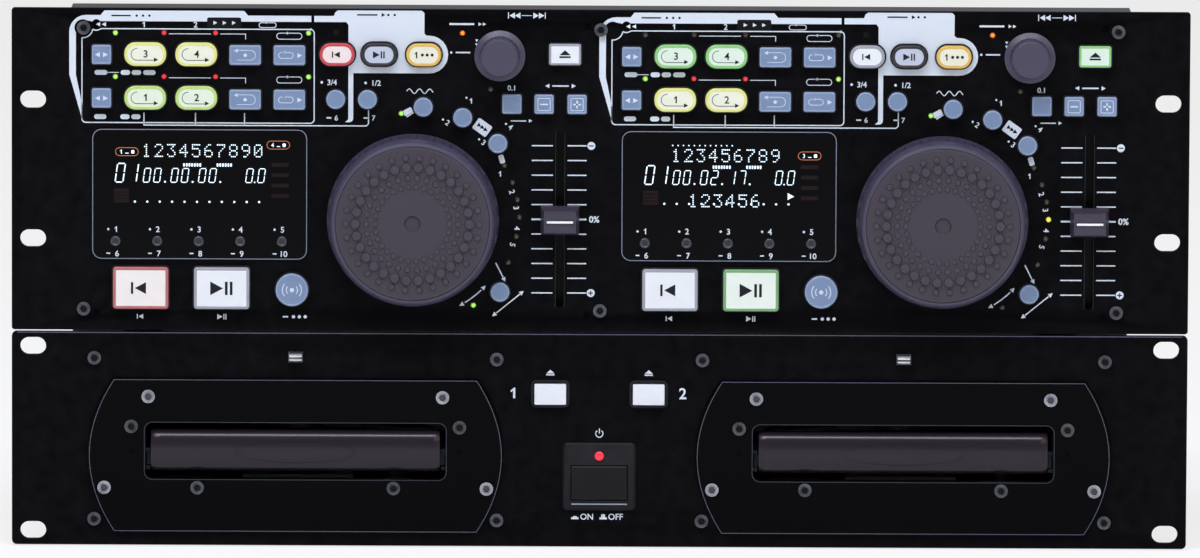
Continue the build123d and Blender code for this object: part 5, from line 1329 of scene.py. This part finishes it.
class PLAYER_OT_tray_fronts(bpy.types.Operator):
    """Crowned gloss fronts of the disc trays, each with a dark line of painted shade round an oval
    """

    bl_idname = "player.tray_fronts"
    bl_label = "Tray fronts"

    def execute(self, context):
        skin = finish_material(
            "tray_front_moulding", linear((0.12, 0.085, 0.12)), 0.26, bump=0.01, wear_and_highlight=0.0,
            dust=0.002, coat=0.15, mottle=0.05, specular=0.3,
        )
        # Dark line colour: painted shade at the edge of the oval emboss.
        oval_shade_line = print_material("tray_oval", (0.07, 0.055, 0.075))
        for number in SIDES:
            low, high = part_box(f"tray_front_{number}")
            half_wide, half_tall = (high.x - low.x) / 2, (high.z - low.z) / 2
            middle = middle_of(low, high)

            def on_crown(x, z, lift=0.0):
                """Place on the crowned front, from its middle."""
                depth = crown_depth(x / half_wide, z / half_tall)
                return (middle[0] + x, low.y + depth - lift, middle[1] + z)

            bm = bmesh.new()
            bmesh.ops.create_grid(bm, x_segments=60, y_segments=20, size=1.0)
            for vert in bm.verts:
                vert.co = on_crown(vert.co.x * half_wide, vert.co.y * half_tall)
            border = [edge for edge in bm.edges if edge.is_boundary]
            grown = bmesh.ops.extrude_edge_only(bm, edges=border)
            for item in grown["geom"]:
                if isinstance(item, bmesh.types.BMVert):
                    item.co.y = high.y
            back = [edge for edge in bm.edges if edge.is_boundary]
            bmesh.ops.holes_fill(bm, edges=back, sides=0)
            bmesh.ops.recalc_face_normals(bm, faces=bm.faces)
            # Dark ring of painted shade standing for the edge of the oval emboss.
            before = len(bm.faces)
            turns = [2 * math.pi * k / OVAL_STEPS for k in range(OVAL_STEPS)]
            oval = [
                (math.cos(turn) * OVAL_WIDE, math.sin(turn) * OVAL_TALL - OVAL_DROP)
                for turn in turns
            ]
            for here, after in zip(oval, oval[1:] + oval[:1]):
                inner = [(x * OVAL_LINE_WIDE, z * OVAL_LINE_TALL) for x, z in (after, here)]
                corners = [here, after, *inner]
                face = bm.faces.new([
                    bm.verts.new(on_crown(x, z, 0.05 * MM)) for x, z in corners
                ])
                face.normal_update()
                if face.normal.y > 0:
                    face.normal_flip()
            paint_faces(bm, before, 1)
            piece = mesh_piece(
                f"tray_front_crown_{number}", bm, [skin, oval_shade_line], f"tray_{number}",
                40,
            )
            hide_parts(f"tray_front_{number}")
        return {"FINISHED"}


# ------------------------------------------------------------------ stage
# Lamps: name, place and size in metres, watts, shape, colour.
WHITE, SKY = (1.0, 1.0, 1.0), (0.82, 0.87, 1.0)
LIGHTS = (
    ("key_light", (-1.4, -1.9, 2.6), 1.6, 27.0, "SQUARE", WHITE),
    ("fill_light", (1.9, -2.2, 1.7), 1.8, 12.0, "SQUARE", WHITE),
    ("top_light", (0.0, -1.1, 1.75), 1.9, 28.0, "RECTANGLE", SKY),
)
# Strength of the surroundings as a light; the camera sees them at full strength.
WORLD_LIGHT = 0.3
SENSOR = 36.0


class PLAYER_OT_stage(bpy.types.Operator):
    """Pale floor, soft studio light and the camera"""

    bl_idname = "player.stage"
    bl_label = "Stage"

    def execute(self, context):
        scene, settings = context.scene, context.scene.player_camera
        bm = bmesh.new()
        bmesh.ops.create_grid(bm, x_segments=1, y_segments=1, size=30.0)
        bmesh.ops.translate(bm, verts=bm.verts, vec=(0, 0, -0.0005))
        mesh = bpy.data.meshes.new("floor")
        bm.to_mesh(mesh)
        bm.free()
        floor = bpy.data.objects.new("floor", mesh)
        scene.collection.objects.link(floor)
        mesh.materials.append(floor_material(scene.player_paint.floor))
        self.make_world(scene)
        face = Vector((0.0, FACE_Y, (PANEL_HIGH.z + DRIVE_LOW.z) / 2))
        for name, spot, size, watts, shape, color in LIGHTS:
            light = bpy.data.lights.new(name, "AREA")
            light.energy, light.size, light.shape, light.color = watts, size, shape, color
            light.size_y = size / 5
            lamp = bpy.data.objects.new(name, light)
            scene.collection.objects.link(lamp)
            lamp.location = spot
            lamp.rotation_euler = (face - Vector(spot)).to_track_quat("-Z", "Y").to_euler()
        self.make_camera(scene, settings, face)
        scene.view_settings.view_transform = "Standard"
        return {"FINISHED"}

    def make_world(self, scene):
        """Even pale surroundings: white at full strength to the camera and through clear surfaces,
        weaker as light and in reflections.
        """
        world = bpy.data.worlds.new("studio")
        world.use_nodes = True
        tree = world.node_tree
        background = tree.nodes["Background"]
        background.inputs["Color"].default_value = (1.0, 1.0, 1.0, 1.0)
        path = tree.nodes.new("ShaderNodeLightPath")
        seen = math_node(
            tree, "MAXIMUM", path.outputs["Is Camera Ray"], path.outputs["Is Transmission Ray"],
        )
        strength = math_node(tree, "MULTIPLY", seen, 1.0 - WORLD_LIGHT)
        strength = math_node(tree, "ADD", strength, WORLD_LIGHT)
        link(tree, strength, background.inputs["Strength"])
        scene.world = world

    def make_camera(self, scene, settings, face):
        """Camera in front of the panels, looking a little down."""
        lens = bpy.data.cameras.new("camera")
        lens.sensor_width = SENSOR
        lens.lens = SENSOR * settings.distance / (PHOTO_PIXELS * PIXEL_MM * MM)
        lens.clip_end = 50.0
        camera = bpy.data.objects.new("camera", lens)
        scene.collection.objects.link(camera)
        tilt = settings.elevation
        away = Vector((0.0, -math.cos(tilt), math.sin(tilt)))
        camera.location = face + away * settings.distance
        level = away.to_track_quat("Z", "Y").to_matrix().to_4x4()
        camera.rotation_euler = (Matrix.Rotation(settings.roll, 4, away) @ level).to_euler()
        scene.camera = camera


def floor_material(color):
    """Pale floor: plain paint, which the camera sees a little brighter."""
    material, tree, shader = new_material("studio_floor", {
        "Base Color": (*linear(color), 1.0), "Roughness": 0.9, "Specular IOR Level": 0.0,
    })
    glow = tree.nodes.new("ShaderNodeEmission")
    path = tree.nodes.new("ShaderNodeLightPath")
    share = math_node(tree, "MULTIPLY", path.outputs["Is Camera Ray"], 0.72)
    mix = tree.nodes.new("ShaderNodeMixShader")
    link(tree, share, mix.inputs[0])
    link(tree, shader.outputs[0], mix.inputs[1])
    link(tree, glow.outputs[0], mix.inputs[2])
    link(tree, mix.outputs[0], tree.nodes["Material Output"].inputs["Surface"])
    return material


# ------------------------------------------------------------------ sidebar and registration
class PLAYER_PT_sidebar(bpy.types.Panel):
    """Settings of the disc player, and its steps in order"""

    bl_idname = "PLAYER_PT_sidebar"
    bl_label = "Disc player"
    bl_space_type = "VIEW_3D"
    bl_region_type = "UI"
    bl_category = "Disc player"

    def draw(self, context):
        for settings in (
            context.scene.player_paint, context.scene.player_glow, context.scene.player_camera,
        ):
            for name in settings.__annotations__:
                self.layout.prop(settings, name)
        for operator in OPERATORS:
            self.layout.operator(operator.bl_idname)


SETTINGS = {
    "player_paint": PaintSettings,
    "player_glow": GlowSettings,
    "player_camera": CameraSettings,
}
OPERATORS = (
    PLAYER_OT_finishes, PLAYER_OT_panel_print, PLAYER_OT_keys, PLAYER_OT_lamps,
    PLAYER_OT_displays, PLAYER_OT_fittings, PLAYER_OT_tray_fronts, PLAYER_OT_stage,
)


def register():
    """Register the settings, the operators and the sidebar."""
    for name, group in SETTINGS.items():
        bpy.utils.register_class(group)
        setattr(bpy.types.Scene, name, bpy.props.PointerProperty(type=group))
    for operator in OPERATORS:
        bpy.utils.register_class(operator)
    bpy.utils.register_class(PLAYER_PT_sidebar)


def unregister():
    """Take away what register added."""
    bpy.utils.unregister_class(PLAYER_PT_sidebar)
    for operator in reversed(OPERATORS):
        bpy.utils.unregister_class(operator)
    for name, group in reversed(SETTINGS.items()):
        delattr(bpy.types.Scene, name)
        bpy.utils.unregister_class(group)


def main():
    """Make every piece in order."""
    register()
    bpy.ops.player.finishes()
    bpy.ops.player.panel_print()
    bpy.ops.player.keys()
    bpy.ops.player.lamps()
    bpy.ops.player.displays()
    bpy.ops.player.fittings()
    bpy.ops.player.tray_fronts()
    bpy.ops.player.stage()


if __name__ == "__main__":
    main()
